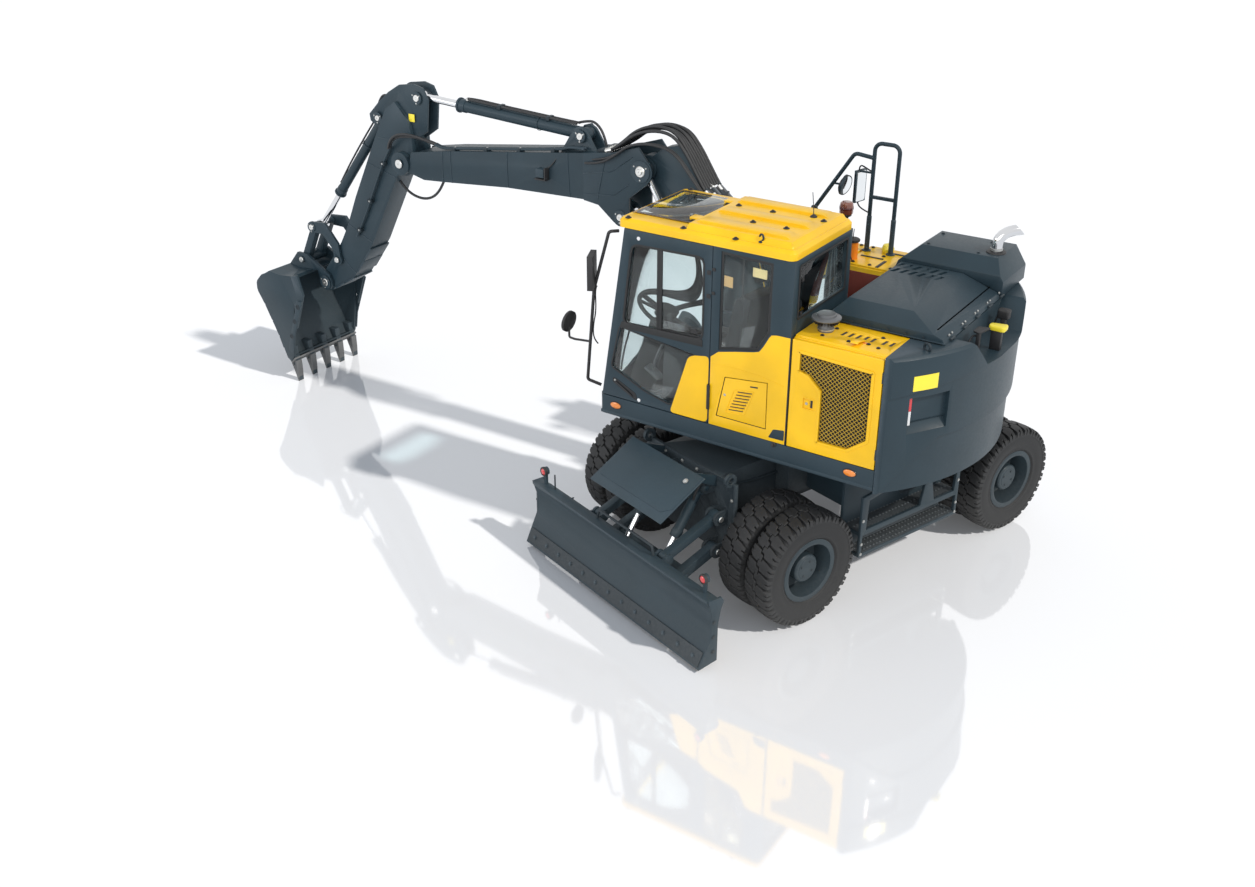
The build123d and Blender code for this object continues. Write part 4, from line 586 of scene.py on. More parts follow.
for name, s in SIDES:
    for z, deep in ((0.635, 0.225), (0.425, 0.165)):
        teeth = []
        for k in range(30):
            x = -0.82 + k * 0.0405
            for j in range(3):
                y = s * (1.205 - 0.028 - j * (deep - 0.045) / 2.2)
                bpy.ops.object.select_all(action="DESELECT")
                bpy.ops.mesh.primitive_cone_add(vertices=6, radius1=0.013, radius2=0.007, depth=0.011,
                                                location=(x + 0.02 * (j % 2), y, z + 0.005))
                bpy.ops.object.transform_apply(location=True)
                teeth.append(bpy.context.object)
        settle(join(f"tread_teeth_{name}_{round(z * 1000)}", teeth), tread_plate, "undercarriage")
        plate(f"tread_skin_{name}_{round(z * 1000)}", rect(-0.845, s * 1.21, 0.41, s * (1.215 - deep)), 2,
              z, z + 0.003, tread_plate, "undercarriage", 0.001)
    bolts(f"step_bolts_{name}", [(x, s * 1.216, z) for x in (-0.83, 0.395) for z in (0.42, 0.52, 0.75)],
          (0, s, 0), 0.011, zinc, "undercarriage")
    plate(f"locker_door_{name}", rect(-0.80, 0.70, -0.28, 1.07), 1, s * 1.0151, s * 1.021, dark_steel,
          "undercarriage", 0.003)

# The dozer blade: rolled mouldboard with welded end plates, a bolted cutting edge and two red
# marker lamps, on parallel arms and links whose pins are held by bolted caps. All painted slate.
for node in ("blade_lower_arms", "blade_upper_links", "blade_barrels", "blade"):
    edged(node, slate, 0.005)
plate("cutting_edge", ((2.2215, 0.052), (2.166, 0.172), (2.1738, 0.1756), (2.2285, 0.0575)), 1, -1.228,
      1.228, dark_steel, "blade_body", 0.0015)
bolts("cutting_edge_bolts", [(2.203, -1.14 + 0.19 * i, 0.118) for i in range(13)], (0.907, 0, 0.42), 0.015,
      slate, "blade_body", height=0.45)
for s in (-1, 1):
    bolts("end_plate_nuts_%d" % s, [(2.085, s * 1.251, z) for z in (0.16, 0.30, 0.44)], (0, s, 0), 0.014,
          dark_steel, "blade_body", height=0.5)
    plate("blade_gusset_%d" % s, ((2.044, 0.56), (2.044, 0.63), (1.995, 0.63)), 1, s * 0.80,
          s * 0.80 + 0.014, slate, "blade_body", 0.002)
lens_red = paint("red_lens", (0.62, 0.012, 0.018), (0.9, 0.1, 0.1), gloss=0.08, rub=0.1, dust=0.2, coat=1.0)
black = paint("moulded_black", (0.012, 0.012, 0.0135), (0.04, 0.04, 0.042), gloss=0.45, rub=0.5, dust=0.25,
              coat=0.0)
for s in (-1, 1):
    turned("marker_housing_%d" % s, [(0.0, 0.0), (0.036, 0.0), (0.044, 0.006), (0.045, 0.024),
                                     (0.041, 0.03), (0.034, 0.03), (0.034, 0.022), (0.0, 0.022)],
           (2.078, s * 1.12, 0.785), (1, 0, 0), black, "blade_body", 32)
    turned("marker_lens_%d" % s, [(0.0, 0.0), (0.0, 0.016), (0.014, 0.0145), (0.026, 0.009), (0.033, 0.0)],
           (2.100, s * 1.12, 0.785), (1, 0, 0), lens_red, "blade_body", 32)
tube("blade_guard_rod", [(2.06, -0.34, 0.655), (2.06, -0.33, 0.73), (2.06, -0.28, 0.74), (2.06, 0.40, 0.74),
                         (2.06, 0.43, 0.73), (2.06, 0.44, 0.655)], 0.012, dark_steel, "blade_body")
tube("blade_peg", [(2.07, -0.98, 0.65), (2.07, -0.98, 0.70), (2.07, -0.98, 0.80)], 0.007, dark_steel,
     "blade_body")
for lane in (-0.45, 0.45):
    for place, body in (((1.42, 0.49), "blade_arm_pair"), ((1.97, 0.29), "blade_arm_pair"),
                        ((1.40, 0.80), "blade_link_pair")):
        for s in (-1, 1):
            turned("blade_pin_cap", [(0.0, 0.0), (0.0, 0.007), (0.022, 0.007), (0.027, 0.0)],
                   (place[0], lane + s * 0.081, place[1]), (0, s, 0), zinc, body, 20)
for lane in (-0.25, 0.25):
    tube("blade_hose_%d" % (100 * lane), [(1.33, lane + 0.03, 0.98), (1.38, lane + 0.05, 1.10),
                                          (1.50, lane + 0.05, 1.02), (1.50, lane + 0.03, 0.92)], 0.011,
         black, "undercarriage", between=("undercarriage", "blade_barrel_pair"))

# The slewing platform: a flat welded frame with a folded sill all round, which carries an amber
# side marker at each end of the left side, and hoses hanging under it to the swivel joint.
edged("slew_platform", slate, 0.010, 3)
amber = paint("amber_lens", (0.85, 0.24, 0.02), (0.95, 0.5, 0.2), gloss=0.1, rub=0.1, dust=0.2, coat=1.0)
for x in (1.20, -1.06):
    for name, section, look, stretch in (("side_marker", [(0.0, 0.016), (0.02, 0.014), (0.030, 0.008),
                                                          (0.033, 0.0), (0.0, 0.0)], amber,
                                          (1.7, 1, 0.9, 1)), ("side_marker_seat",
                                              [(0.0, 0.004), (0.036, 0.004), (0.038, 0.0), (0.0, 0.0)],
                                              black, (1.65, 1, 0.95, 1))):
        turned(name, section, (0, 0, 0), (0, 1, 0), look, "upper",
               32).data.transform(Matrix.Translation((x, 1.245, 1.445)) @ Matrix.Diagonal(stretch))
plate("sill_lip", rect(-1.262, 1.372, 1.36, 1.344), 1, 1.236, 1.2465, slate, "upper", 0.002)
for k, x in enumerate((-0.9, -0.35, 0.35, 0.8)):
    tube("belly_hose_%d" % k, [(x * 0.4, 0.62, 1.345), (x * 0.5, 0.66, 1.30), (x * 0.8, 0.8, 1.29),
                               (x, 0.95, 1.345)], 0.016, black, "upper")
bolts("slew_ring_bolts", [(0.60 * cos(2 * pi * i / 24), 0.60 * sin(2 * pi * i / 24),
                           1.342) for i in range(24)], (0, 0, -1), 0.013, zinc, "upper")

# The counterweight: one casting, spotted and painted slate, with a stepped tail, a lamp in each
# bay, a camera and a yellow latch in the notch of its rim, and lifting eyes. Its plate is blank.
edged("counterweight", slate, 0.012, 3)
label_yellow = paint("blank_plate_yellow", (0.90, 0.72, 0.03), (0.95, 0.85, 0.3), gloss=0.3, rub=0.1,
                     dust=0.1)
white_lens = paint("white_lens", (0.72, 0.72, 0.72), (0.9, 0.9, 0.9), gloss=0.12, rub=0.1, dust=0.1,
                   coat=1.0)


def softened(outline, radius, steps=4):
    """An outline with its corners rounded off."""
    points = []
    for k, corner in enumerate(outline):
        here = Vector(corner)
        before = (Vector(outline[k - 1]) - here)
        after = (Vector(outline[(k + 1) % len(outline)]) - here)
        reach = min(radius, before.length / 2.1, after.length / 2.1)
        a, b = here + before.normalized() * reach, here + after.normalized() * reach
        for i in range(steps + 1):
            t = i / steps
            points.append(tuple(a * (1 - t) ** 2 + here * 2 * t * (1 - t) + b * t ** 2))
    return points


def on_tail(turn, radius, z):
    """A point round the tail, its angle measured from straight behind towards the left."""
    return Vector((-radius * cos(radians(turn)), radius * sin(radians(turn)), z))


def tail_patch(name, turns, levels, radius, out, look):
    """A thin plate curved round the tail."""
    bpy.ops.object.select_all(action="DESELECT")
    bpy.ops.mesh.primitive_grid_add(x_subdivisions=8, y_subdivisions=1, size=1)
    made = bpy.context.object
    made.name = name
    for corner in made.data.vertices:
        u, v = corner.co.x + 0.5, corner.co.y + 0.5
        corner.co = on_tail(turns[0] + u * (turns[1] - turns[0]), radius,
                            levels[0] + v * (levels[1] - levels[0]))
    modify(made, "thickness", "SOLIDIFY", thickness=out, offset=1)
    normals_out()
    return settle(made, look, "upper")


tail_patch("blank_plate_tail", (30.2, 37.2), (2.205, 2.330), 1.8315, 0.0015, label_yellow)
for s in (-1, 1):
    bay = s * 37.3
    tail_patch("tail_lamp_red_%d" % s, sorted((bay, bay - s * 0.9)), (2.02, 2.13), 1.795, 0.012, lens_red)
    tail_patch("tail_lamp_white_%d" % s, sorted((bay, bay - s * 0.9)), (1.90, 2.018), 1.795, 0.012,
               white_lens)
    tail_patch("tail_lamp_back_%d" % s, sorted((bay + s * 0.1, bay - s * 1.6)), (1.89, 2.137), 1.765, 0.03,
               slate)
plate("rim_latch", softened(((-1.80, 0.02), (-1.66, 0.05), (-1.66, 0.12), (-1.80, 0.13)), 0.03), 2, 2.43,
      2.475, label_yellow, "upper", 0.012, segments=3)
plate("rim_latch_foot", ((-1.77, 0.05), (-1.68, 0.06), (-1.68, 0.10), (-1.77, 0.10)), 2, 2.262, 2.44, black,
      "upper", 0.006)
plate("rear_camera", softened(rect(-1.70, -0.34, -1.60, -0.26), 0.02), 2, 2.39, 2.47, black, "upper", 0.012,
      segments=3)
plate("rear_camera_foot", rect(-1.67, -0.32, -1.63, -0.28), 2, 2.262, 2.40, black, "upper", 0.004)
for y in (-0.36, 0.30):
    tube("camera_lead_%d" % (100 * y), [(-1.56, y, 2.27), (-1.58, y + 0.05, 2.36), (-1.60, y - 0.02, 2.43),
                                        (-1.64, y - 0.04, 2.41), (-1.66, y, 2.28)], 0.008, black, "upper")
plate("hose_post", rect(-1.66, 0.26, -1.63, 0.30), 2, 2.262, 2.46, black, "upper", 0.003)
plate("hose_bracket", softened(((-1.70, 0.16), (-1.60, 0.18), (-1.60, 0.30), (-1.66, 0.32)), 0.02), 2,
      2.455, 2.47, black, "upper", 0.003)
for s in (-1, 1):
    turned("lifting_eye_%d" % s, ring(0.030, 0.011, 0.011), (-1.47, s * 0.93, 2.513), (0.4, 1, 0),
           dark_steel, "upper", 24)

# The engine door: pressed yellow steel round a fine diamond mesh, with a raised border, a square
# latch in a shallow tray and black edge seals. A near-black sheet behind the mesh is painted shade
# of the dark cooler bay behind it.
yellow = paint("yellow_paint", (0.92, 0.53, 0.006), (0.98, 0.66, 0.10), gloss=0.26, rub=0.3, dust=0.06,
               coat=0.15, sheen=0.35)
GRILLE = ((-0.56, 2.36), (-1.17, 2.33), (-1.17, 1.76), (-1.01, 1.64), (-0.76, 1.64), (-0.76, 2.08),
          (-0.64, 2.19), (-0.56, 2.21))
door = plate("engine_door_skin", ((-0.486, 1.526), (-0.486, 2.464), (-1.258, 2.464), (-1.258, 1.526)), 1,
             1.213, 1.2445, yellow, "engine_door_body", 0.006, segments=3,
             cutters=(prism("grille_hole", GRILLE, 1, 1.20, 1.26),
                      prism("latch_hole", rect(-0.61, 1.90, -0.70, 1.99), 1, 1.236, 1.26)))
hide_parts("engine_door")
plate("grille_border", softened([(-0.535, 2.388), (-1.196, 2.356), (-1.196, 1.748), (-1.018, 1.613),
                                 (-0.734, 1.613), (-0.734, 2.068), (-0.622, 2.168), (-0.535, 2.19)], 0.02),
      1, 1.236, 1.2495, yellow, "engine_door_body", 0.004, rim=0.026)
bpy.ops.object.select_all(action="DESELECT")
bpy.ops.mesh.primitive_grid_add(x_subdivisions=56, y_subdivisions=56, size=1.6,
                                rotation=(0, 0, radians(45)))
mesh_sheet = bpy.context.object
mesh_sheet.name = "grille_mesh"
bpy.ops.object.transform_apply(rotation=True)
for corner in mesh_sheet.data.vertices:
    corner.co = (-0.865 + corner.co.x * 0.95, 1.232, 2.0 + corner.co.y * 0.92)


def outside_grille(face):
    """Whether a face of the mesh sheet lies outside the grille's opening."""
    x, z = face.center.x, face.center.z
    crossed = 0
    for (x0, z0), (x1, z1) in zip(GRILLE, GRILLE[1:] + GRILLE[:1]):
        if (z0 > z) != (z1 > z) and x < x0 + (z - z0) * (x1 - x0) / (z1 - z0):
            crossed += 1
    return crossed % 2 == 0


drop_faces(mesh_sheet, outside_grille)
modify(mesh_sheet, "strands", "WIREFRAME", thickness=0.0085, use_even_offset=False)
settle(mesh_sheet, paint("grille_yellow", (0.56, 0.36, 0.03), (0.8, 0.6, 0.2), gloss=0.4, rub=0.4,
                         dust=0.2), "engine_door_body")
# Painted shade: a near-black sheet close behind the mesh stands in for the shaded bay seen through it.
bay_shade_look = paint("grille_painted_shade", (0.004, 0.004, 0.005), (0.02, 0.02, 0.02), gloss=0.6, rub=0.2, dust=0.1,
                    coat=0.0)
plate("grille_shade_sheet", GRILLE, 1, 1.2150, 1.2185, bay_shade_look, "engine_door_body", 0.0)
plate("latch_tray", rect(-0.612, 1.902, -0.698, 1.988), 1, 1.230, 1.2365, yellow, "engine_door_body", 0.002)
plate("latch_rim", softened(rect(-0.60, 1.89, -0.71, 2.00), 0.012), 1, 1.240, 1.2475, yellow,
      "engine_door_body", 0.002, rim=0.010)
plate("latch_tab", softened(rect(-0.62, 1.915, -0.665, 1.975), 0.008), 1, 1.236, 1.243, yellow,
      "engine_door_body", 0.002)
turned("latch_lock", [(0.0, 0.0), (0.0, 0.005), (0.010, 0.005), (0.013, 0.0)], (-0.64, 1.243, 1.945),
       (0, 1, 0), zinc, "engine_door_body", 24)
plate("latch_shadow", rect(-0.672, 1.912, -0.692, 1.978), 1, 1.236, 1.238, black, "engine_door_body", 0.001)
for z in (1.66, 2.32):
    turned("engine_door_hinge_%d" % (100 * z), [(0.0, -0.045), (0.0085, -0.045), (0.0085, 0.045),
                                                (0.0, 0.045)], (-1.2605, 1.2395, z), (0, 0, 1), dark_steel,
           "engine_door_body", 16)

# The left body: yellow folded steel over the cooler, with two groups of slanted slots in its
# deck, black bolts and a bent yellow tab with a red mark behind it.
# Black plates sunk in each slot are painted shade, darkening the slots' bottoms.
slots, slot_shades = [], []
for x in (-0.790, -0.852, -0.914, -0.976, -1.038, -1.135, -1.197):
    hole = ((x + 0.010, 0.905), (x - 0.020, 0.905), (x - 0.010, 1.005), (x + 0.020, 1.005))
    slots.append(prism("slot", hole, 2, 2.472, 2.50))
    slot_shades.append(prism("painted_slot_shade", hole, 2, 2.468, 2.4785))
edged("side_body_left", yellow, 0.006, 3, punched=slots)
settle(join("left_deck_painted_slot_shade", slot_shades), black, "upper")
bolts("left_deck_bolts", [(-0.700, 0.90, 2.484), (-0.665, 1.09, 2.484), (-0.890, 1.09, 2.484),
                          (-0.945, 1.04, 2.484), (-1.045, 1.06, 2.484), (-1.087, 0.88, 2.484),
                          (-1.140, 1.09, 2.484)], (0, 0, 1), 0.013, black, "upper")
plate("deck_tab", ((1.02, 2.483), (1.14, 2.512), (1.165, 2.508), (1.160, 2.520), (1.135, 2.524),
                   (1.01, 2.495)), 0, -1.000, -0.935, yellow, "upper", 0.004)
plate("deck_tab_stripe", softened(((-0.995, 1.050), (-1.050, 1.035), (-1.050, 1.047), (-0.995, 1.062)),
                                  0.003), 2, 2.484, 2.487, lens_red, "upper", 0.0)
plate("engine_bay_wall", ((-0.478, 1.53), (-0.478, 2.465), (-0.4715, 2.465), (-0.4715, 1.53)), 1, 1.19,
      1.243, black, "upper", 0.001)

# The hood: a low pressed lid with bevelled sides and slanted slots, and a raised box over the
# silencer with the chrome tail pipe, cut at a slant. Hinges and bolts run along its rear edge.
# Black plates sunk in each slot are painted shade, darkening the slots' bottoms.
slots, slot_shades = [], []
for row, y0 in enumerate((-0.385, -0.245)):
    for k in range(6):
        x = -0.70 - 0.078 * k - 0.02 * row
        hole = ((x, y0 - 0.05), (x + 0.036, y0 - 0.05), (x + 0.066, y0 + 0.05), (x + 0.030, y0 + 0.05))
        slots.append(prism("slot", hole, 2, 2.590, 2.72))
        slot_shades.append(prism("painted_slot_shade", hole, 2, 2.584, 2.593))
edged("engine_hood", slate, 0.014, 3, 20, punched=slots)
settle(join("hood_painted_slot_shade", slot_shades), black, "hood")
for k in range(5):
    turned("hood_hinge_%d" % k, [(0.0, -0.04), (0.011, -0.04), (0.011, 0.04), (0.0, 0.04)],
           (-1.549, 0.62 - 0.28 * k, 2.502), (0, 1, 0), dark_steel, "hood", 16)
    bolts("hood_hinge_bolts_%d" % k, [(-1.531, 0.62 - 0.28 * k + dy, 2.535) for dy in (-0.03, 0.03)],
          (-0.9, 0, 0.25), 0.008, zinc, "hood")
plate("hood_lip", rect(-0.555, 2.493, -1.547, 2.503), 1, 0.758, 0.772, slate, "hood", 0.002)
bolts("hood_top_bolts", [(-0.80, -0.66, 2.78), (-0.80, -1.0, 2.78), (-1.25, -0.66, 2.78),
                         (-1.25, -1.0, 2.78)], (0, 0, 1), 0.012, dark_steel, "hood")
bolts("hood_side_bolts", [(-0.62 - 0.15 * i, 0.771, 2.52) for i in range(6)], (0, 1, 0), 0.008, dark_steel,
      "hood", height=0.4)
plate("walkway_strip", rect(-0.486, 0.20, -0.545, -0.60), 2, 2.44, 2.478, slate, "upper", 0.004)
chrome = paint("hard_chrome", (0.72, 0.73, 0.75), (0.8, 0.8, 0.8), gloss=-0.02, rub=0.1, dust=0.05,
               metallic=1.0, coat=0.0, peel=0.01)
PIPE = (-1.37, -0.76)
pipe = tube("tail_pipe", [(*PIPE, 2.775), (*PIPE, 2.85), (-1.375, -0.765, 2.90), (-1.41, -0.80, 2.945),
                          (-1.45, -0.845, 2.962), (-1.50, -0.90, 2.966), (-1.56, -0.965, 2.966)], 0.047,
            chrome, "hood", sides=7)
only(pipe)
bpy.ops.object.mode_set(mode="EDIT")
bpy.ops.mesh.select_all(action="SELECT")
bpy.ops.mesh.bisect(plane_co=(-1.50, -0.90, 2.966), plane_no=(-0.50, -0.53, 0.68), clear_outer=True)
bpy.ops.object.mode_set(mode="OBJECT")
modify(pipe, "wall", "SOLIDIFY", thickness=0.003, offset=-1)
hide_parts("exhaust_pipe")
turned("tail_pipe_clamp", [(0.048, 0.0), (0.052, 0.002), (0.052, 0.020), (0.048, 0.022)], (*PIPE, 2.80),
       (0, 0, 1), zinc, "hood", 32)
turned("tail_pipe_seat", [(0.048, 0.0), (0.085, 0.0), (0.082, 0.010), (0.055, 0.014), (0.048, 0.014)],
       (*PIPE, 2.78), (0, 0, 1), black, "hood", 32)

# The air pre-cleaner: a moulded grey bowl on a black neck, turned, with a ring of swirl vanes.
grey = paint("bowl_grey", (0.10, 0.105, 0.11), (0.2, 0.2, 0.2), gloss=0.22, rub=0.3, dust=0.2, coat=0.3)
BOWL = (-0.64, 0.98, 2.484)
bowl = turned("precleaner_bowl", [(0.0, 0.0), (0.064, 0.0), (0.064, 0.035), (0.058, 0.045), (0.056, 0.085),
                                  (0.066, 0.092), (0.114, 0.100), (0.1195, 0.108), (0.118, 0.116),
                                  (0.095, 0.124), (0.080, 0.128), (0.078, 0.140), (0.070, 0.147),
                                  (0.040, 0.150), (0.0, 0.150)], BOWL, (0, 0, 1), grey, "upper", 56)
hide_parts("air_precleaner")
vanes = []
for k in range(20):
    vane = prism("vane", ((0.062, 0.060), (0.100, 0.066), (0.100, 0.098), (0.062, 0.090)), 1, -0.001, 0.001)
    vane.data.transform(Matrix.Translation(BOWL) @ Matrix.Rotation(2 * pi * k / 20, 4, "Z"))
    vanes.append(vane)
settle(join("precleaner_vanes", vanes), black, "upper")
turned("precleaner_clamp", [(0.0665, 0.0), (0.069, 0.002), (0.069, 0.012), (0.0665, 0.014)],
       (*BOWL[:2], 2.495), (0, 0, 1), zinc, "upper", 32)

# The right body: fuel tank and tool box in yellow folded steel, with a black filler, straps,
# breather, bolts and a red-brown primed front behind the cab. Its lid lifts at the front.
edged("side_body_right", yellow, 0.008, 3)
edged("tool_box_lid", yellow, 0.006, 3)
primer = paint("primer_red", (0.16, 0.020, 0.010), (0.3, 0.08, 0.05), gloss=0.4, rub=0.4, dust=0.3, coat=0)
plate("tank_face", rect(-0.46, 1.56, 0.55, 2.40), 1, -0.660, -0.652, primer, "upper", 0.002)
for name, back, front in (("rear", -0.49, -0.03), ("front", 0.0, 0.545)):
    plate("tank_deck_" + name, softened(((back, -1.235), (back, -0.67), (front, -0.67), (front, -1.235)),
                                        0.02), 2, 2.445, 2.462, yellow, "upper", 0.005)
# Black patches laid on the deck stand for its slots: painted shade where the openings would be dark.
for x, y, dx, dy in ((-0.33, -0.78, 0.015, 0.10), (-0.18, -0.92, 0.11, 0.013), (0.22, -0.95, 0.15, 0.015),
                     (-0.36, -1.12, 0.10, 0.014), (0.30, -0.74, 0.12, 0.015)):
    plate("deck_painted_slot_shade", rect(x - dx, y - dy, x + dx, y + dy), 2, 2.460, 2.468, black, "upper", 0.002)
bolts("right_deck_bolts", [(x, y, 2.462) for x, y in ((-0.45, -0.72), (-0.45, -1.19), (-0.25, -0.71),
                                                      (-0.08, -0.72), (-0.07, -1.19), (-0.26, -1.0),
                                                      (0.05, -0.72), (0.05, -1.19), (0.28, -0.71),
                                                      (0.50, -0.72), (0.50, -1.19), (0.28, -1.19),
                                                      (0.12, -1.0))], (0, 0, 1), 0.014, black, "upper")
POST = (-0.03, -0.80)
turned("filter_post", [(0.0, 0.0), (0.052, 0.0), (0.052, 0.16), (0.0, 0.16)], (*POST, 2.462), (0, 0, 1),
       paint("post_orange", (0.85, 0.22, 0.008), (0.9, 0.4, 0.1), gloss=0.3, rub=0.3, dust=0.1), "upper",
       40)
turned("filter_cap", [(0.0, 0.0), (0.058, 0.0), (0.066, 0.006), (0.066, 0.022), (0.054, 0.030),
                      (0.020, 0.033), (0.0, 0.033)], (*POST, 2.622), (0, 0, 1), black, "upper", 12,
       smooth=20)
tube("filter_cap_rod", [(*POST, 2.65), (*POST, 2.70), (-0.035, -0.80, 2.74)], 0.004, black, "upper")
turned("fuel_filler", [(0.0, 0.0), (0.07, 0.0), (0.07, 0.02), (0.062, 0.045), (0.03, 0.052), (0.0, 0.052)],
       (0.24, -0.86, 2.462), (0, 0, 1), black, "upper", 32)
turned("deck_lamp", [(0.0, 0.0), (0.055, 0.0), (0.06, 0.03), (0.045, 0.065), (0.0, 0.075)],
       (-0.23, -1.16, 2.462), (0, 0, 1), label_yellow, "upper", 32)
plate("tool_box_latch", softened(rect(1.20, 1.90, 1.24, 1.96), 0.008), 0, 1.2505, 1.262, black,
      "tool_box_lid_body", 0.003).data.transform(Matrix.Translation((0, -2.17, 0)))
for x in (0.66, 0.95):
    plate("right_step_%d" % (100 * x), softened(rect(x, -1.23, x + 0.22, -1.06), 0.02), 2, 1.992, 1.998,
          tread_plate, "tool_box_lid_body", 0.002)
turned("tank_gauge", [(0.0, 0.0), (0.03, 0.0), (0.03, 0.006), (0.0, 0.010)], (0.40, -0.651, 2.20),
       (0, 1, 0), black, "upper", 24)
turned("tank_port", [(0.0, 0.0), (0.05, 0.0), (0.05, 0.02), (0.03, 0.03), (0.0, 0.03)],
       (0.10, -0.651, 2.22), (0, 1, 0), zinc, "upper", 24)

# The handrails over the tank: bent tube, painted slate, with welded feet and two mirrors in
# black shells, and the beacon, a smoky amber dome on a grey post.
edged("handrails", slate, 0.004)
mirror = paint("mirror_silver", (0.82, 0.84, 0.85), (0.8, 0.8, 0.8), gloss=-0.06, rub=0.0, dust=0.02,
               metallic=1.0, coat=0.0, peel=0.0)
for x, y in ((-0.05, -1.08), (-0.29, -1.08), (0.52, -1.08)):
    turned("rail_foot", [(0.0, 0.0), (0.042, 0.0), (0.042, 0.008), (0.024, 0.012), (0.0, 0.012)],
           (x, y, 2.462), (0, 0, 1), slate, "upper", 28)
    turned("rail_sleeve", [(0.019, 0.0), (0.0235, 0.004), (0.0235, 0.32), (0.019, 0.326)], (x, y, 2.47),
           (0, 0, 1), slate, "upper", 28)
look = Matrix.Translation((0.084, -1.112, 3.05)) @ Matrix.Rotation(radians(-14), 4, "Z")
shell = plate("flat_mirror_shell", softened(rect(-0.075, -0.150, 0.075, 0.150), 0.03), 0, -0.012, 0.016,
              black, "upper", 0.008)
shell.data.transform(look)
plate("flat_mirror_glass", softened(rect(-0.066, -0.141, 0.066, 0.141), 0.026), 0, -0.0145, -0.011, mirror,
      "upper", 0.001).data.transform(look)
tube("mirror_hanger", [(-0.05, -1.08, 3.20), (0.02, -1.10, 3.22), (0.10, -1.13, 3.24),
                       (0.115, -1.135, 3.18), (0.112, -1.135, 2.95), (0.10, -1.13, 2.86),
                       (0.02, -1.10, 2.83), (-0.05, -1.08, 2.82)], 0.007, black, "upper")
look = Matrix.Translation((0.222, -1.080, 3.043)) @ Matrix.Rotation(radians(-12), 4,
    "Z") @ Matrix.Rotation(radians(80), 4, "Y")
turned("round_mirror_shell", [(0.0, 0.020), (0.05, 0.018), (0.085, 0.008), (0.0965, -0.006),
                              (0.0965, -0.013), (0.088, -0.013), (0.0, -0.010)], (0, 0, 0), (0, 0, 1),
       black, "upper", 40).data.transform(look)
turned("round_mirror_glass", [(0.0, -0.0215), (0.03, -0.021), (0.06, -0.018), (0.088, -0.0125),
                              (0.088, -0.011), (0.0, -0.011)], (0, 0, 0), (0, 0, 1), mirror, "upper",
       40).data.transform(look)
beacon_look = paint("beacon_amber", (0.20, 0.055, 0.03), (0.4, 0.15, 0.1), gloss=0.08, rub=0.1, dust=0.1,
                    coat=1.0)
BEACON = (-0.03, -0.60)
dome = turned("beacon_dome", [(0.0, 0.0), (0.058, 0.0), (0.062, 0.008), (0.062, 0.075), (0.056, 0.098),
                              (0.04, 0.109), (0.0, 0.110)], (*BEACON, 2.935), (0, 0, 1), beacon_look,
              "upper", 40)
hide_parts("beacon")
turned("beacon_reflector", [(0.0, 0.0), (0.064, 0.0), (0.066, 0.01), (0.064, 0.024), (0.0, 0.024)],
       (*BEACON, 2.975), (0, 0, 1), paint("reflector_dark", (0.10, 0.012, 0.006), (0.2, 0.1, 0.1),
                                          gloss=0.15, rub=0.1, dust=0.1, coat=1.0), "upper", 40)
turned("beacon_seat", [(0.0, 0.0), (0.022, 0.0), (0.024, 0.03), (0.05, 0.045), (0.05, 0.065), (0.0, 0.065)],
       (*BEACON, 2.872), (0, 0, 1), black, "upper", 32)
turned("beacon_post", [(0.0, 0.0), (0.020, 0.0), (0.020, 0.42), (0.0, 0.42)], (*BEACON, 2.455), (0, 0, 1),
       grey, "upper", 24)
tube("beacon_lead", [(-0.03, -0.62, 2.88), (-0.06, -0.66, 2.78), (-0.05, -0.64, 2.62),
                     (-0.08, -0.70, 2.47)], 0.005, black, "upper")

# The cab: a welded frame in slate with yellow lower panels, glued glass in black seals, and a
# door with a sliding window in its upper half. Its skins are rolled sheet with round edges.
edged("cab_shell", slate, 0.010, 3)
edged("cab_door", slate)
FRONT_SLOPE = 0.15287


def front_x(z):
    """Where the front of the cab is at a height."""
    return 1.350 - FRONT_SLOPE * (z - 1.522)


tint = bpy.data.materials.new("tinted_glass")
tint.use_nodes = True
net = tint.node_tree
spot = shader(net, "TexCoord")
haze = shader(net, "TexNoise", {"Vector": spot.outputs["Object"], "Scale": 5, "Detail": 6}).outputs["Fac"]
smear = shader(net, "MapRange", {"Value": haze, "From Min": 0.55, "From Max": 0.85, "To Min": 0.0,
                                 "To Max": 0.07})
depth = shader(net, "Mix", {"Factor": haze, "A": (0.86, 0.93, 0.93, 1), "B": (0.80, 0.89, 0.90, 1)},
               data_type="RGBA")
pane = net.nodes["Principled BSDF"]
feed(net, pane, {"Metallic": 0, "Transmission Weight": 1, "IOR": 1.45, "Roughness": smear.outputs["Result"],
                 "Base Color": depth.outputs["Result"]})
clear = shader(net, "BsdfTransparent", {"Color": (0.80, 0.87, 0.88, 1)})
rays = shader(net, "LightPath")
thin = shader(net, "MixShader", {"Fac": rays.outputs["Is Shadow Ray"], 1: pane.outputs[0],
                                 2: clear.outputs[0]})
feed(net, net.nodes["Material Output"], {"Surface": thin.outputs[0]})
edged("cab_glass", tint, 0.001)
edged("door_glass", tint, 0.001)
seal = paint("window_seal", (0.010, 0.011, 0.012), (0.03, 0.03, 0.03), gloss=0.5, rub=0.2, dust=0.1,
             coat=0.0)
plate("upper_window_seal", softened([(0.322, 2.252), (front_x(2.25) - 0.102, 2.232),
                                     (front_x(2.95) - 0.087, 2.968), (0.327, 2.983)], 0.085, 6), 1, 1.228,
      1.2475, seal, "cab_door_body", 0.003, rim=0.020)
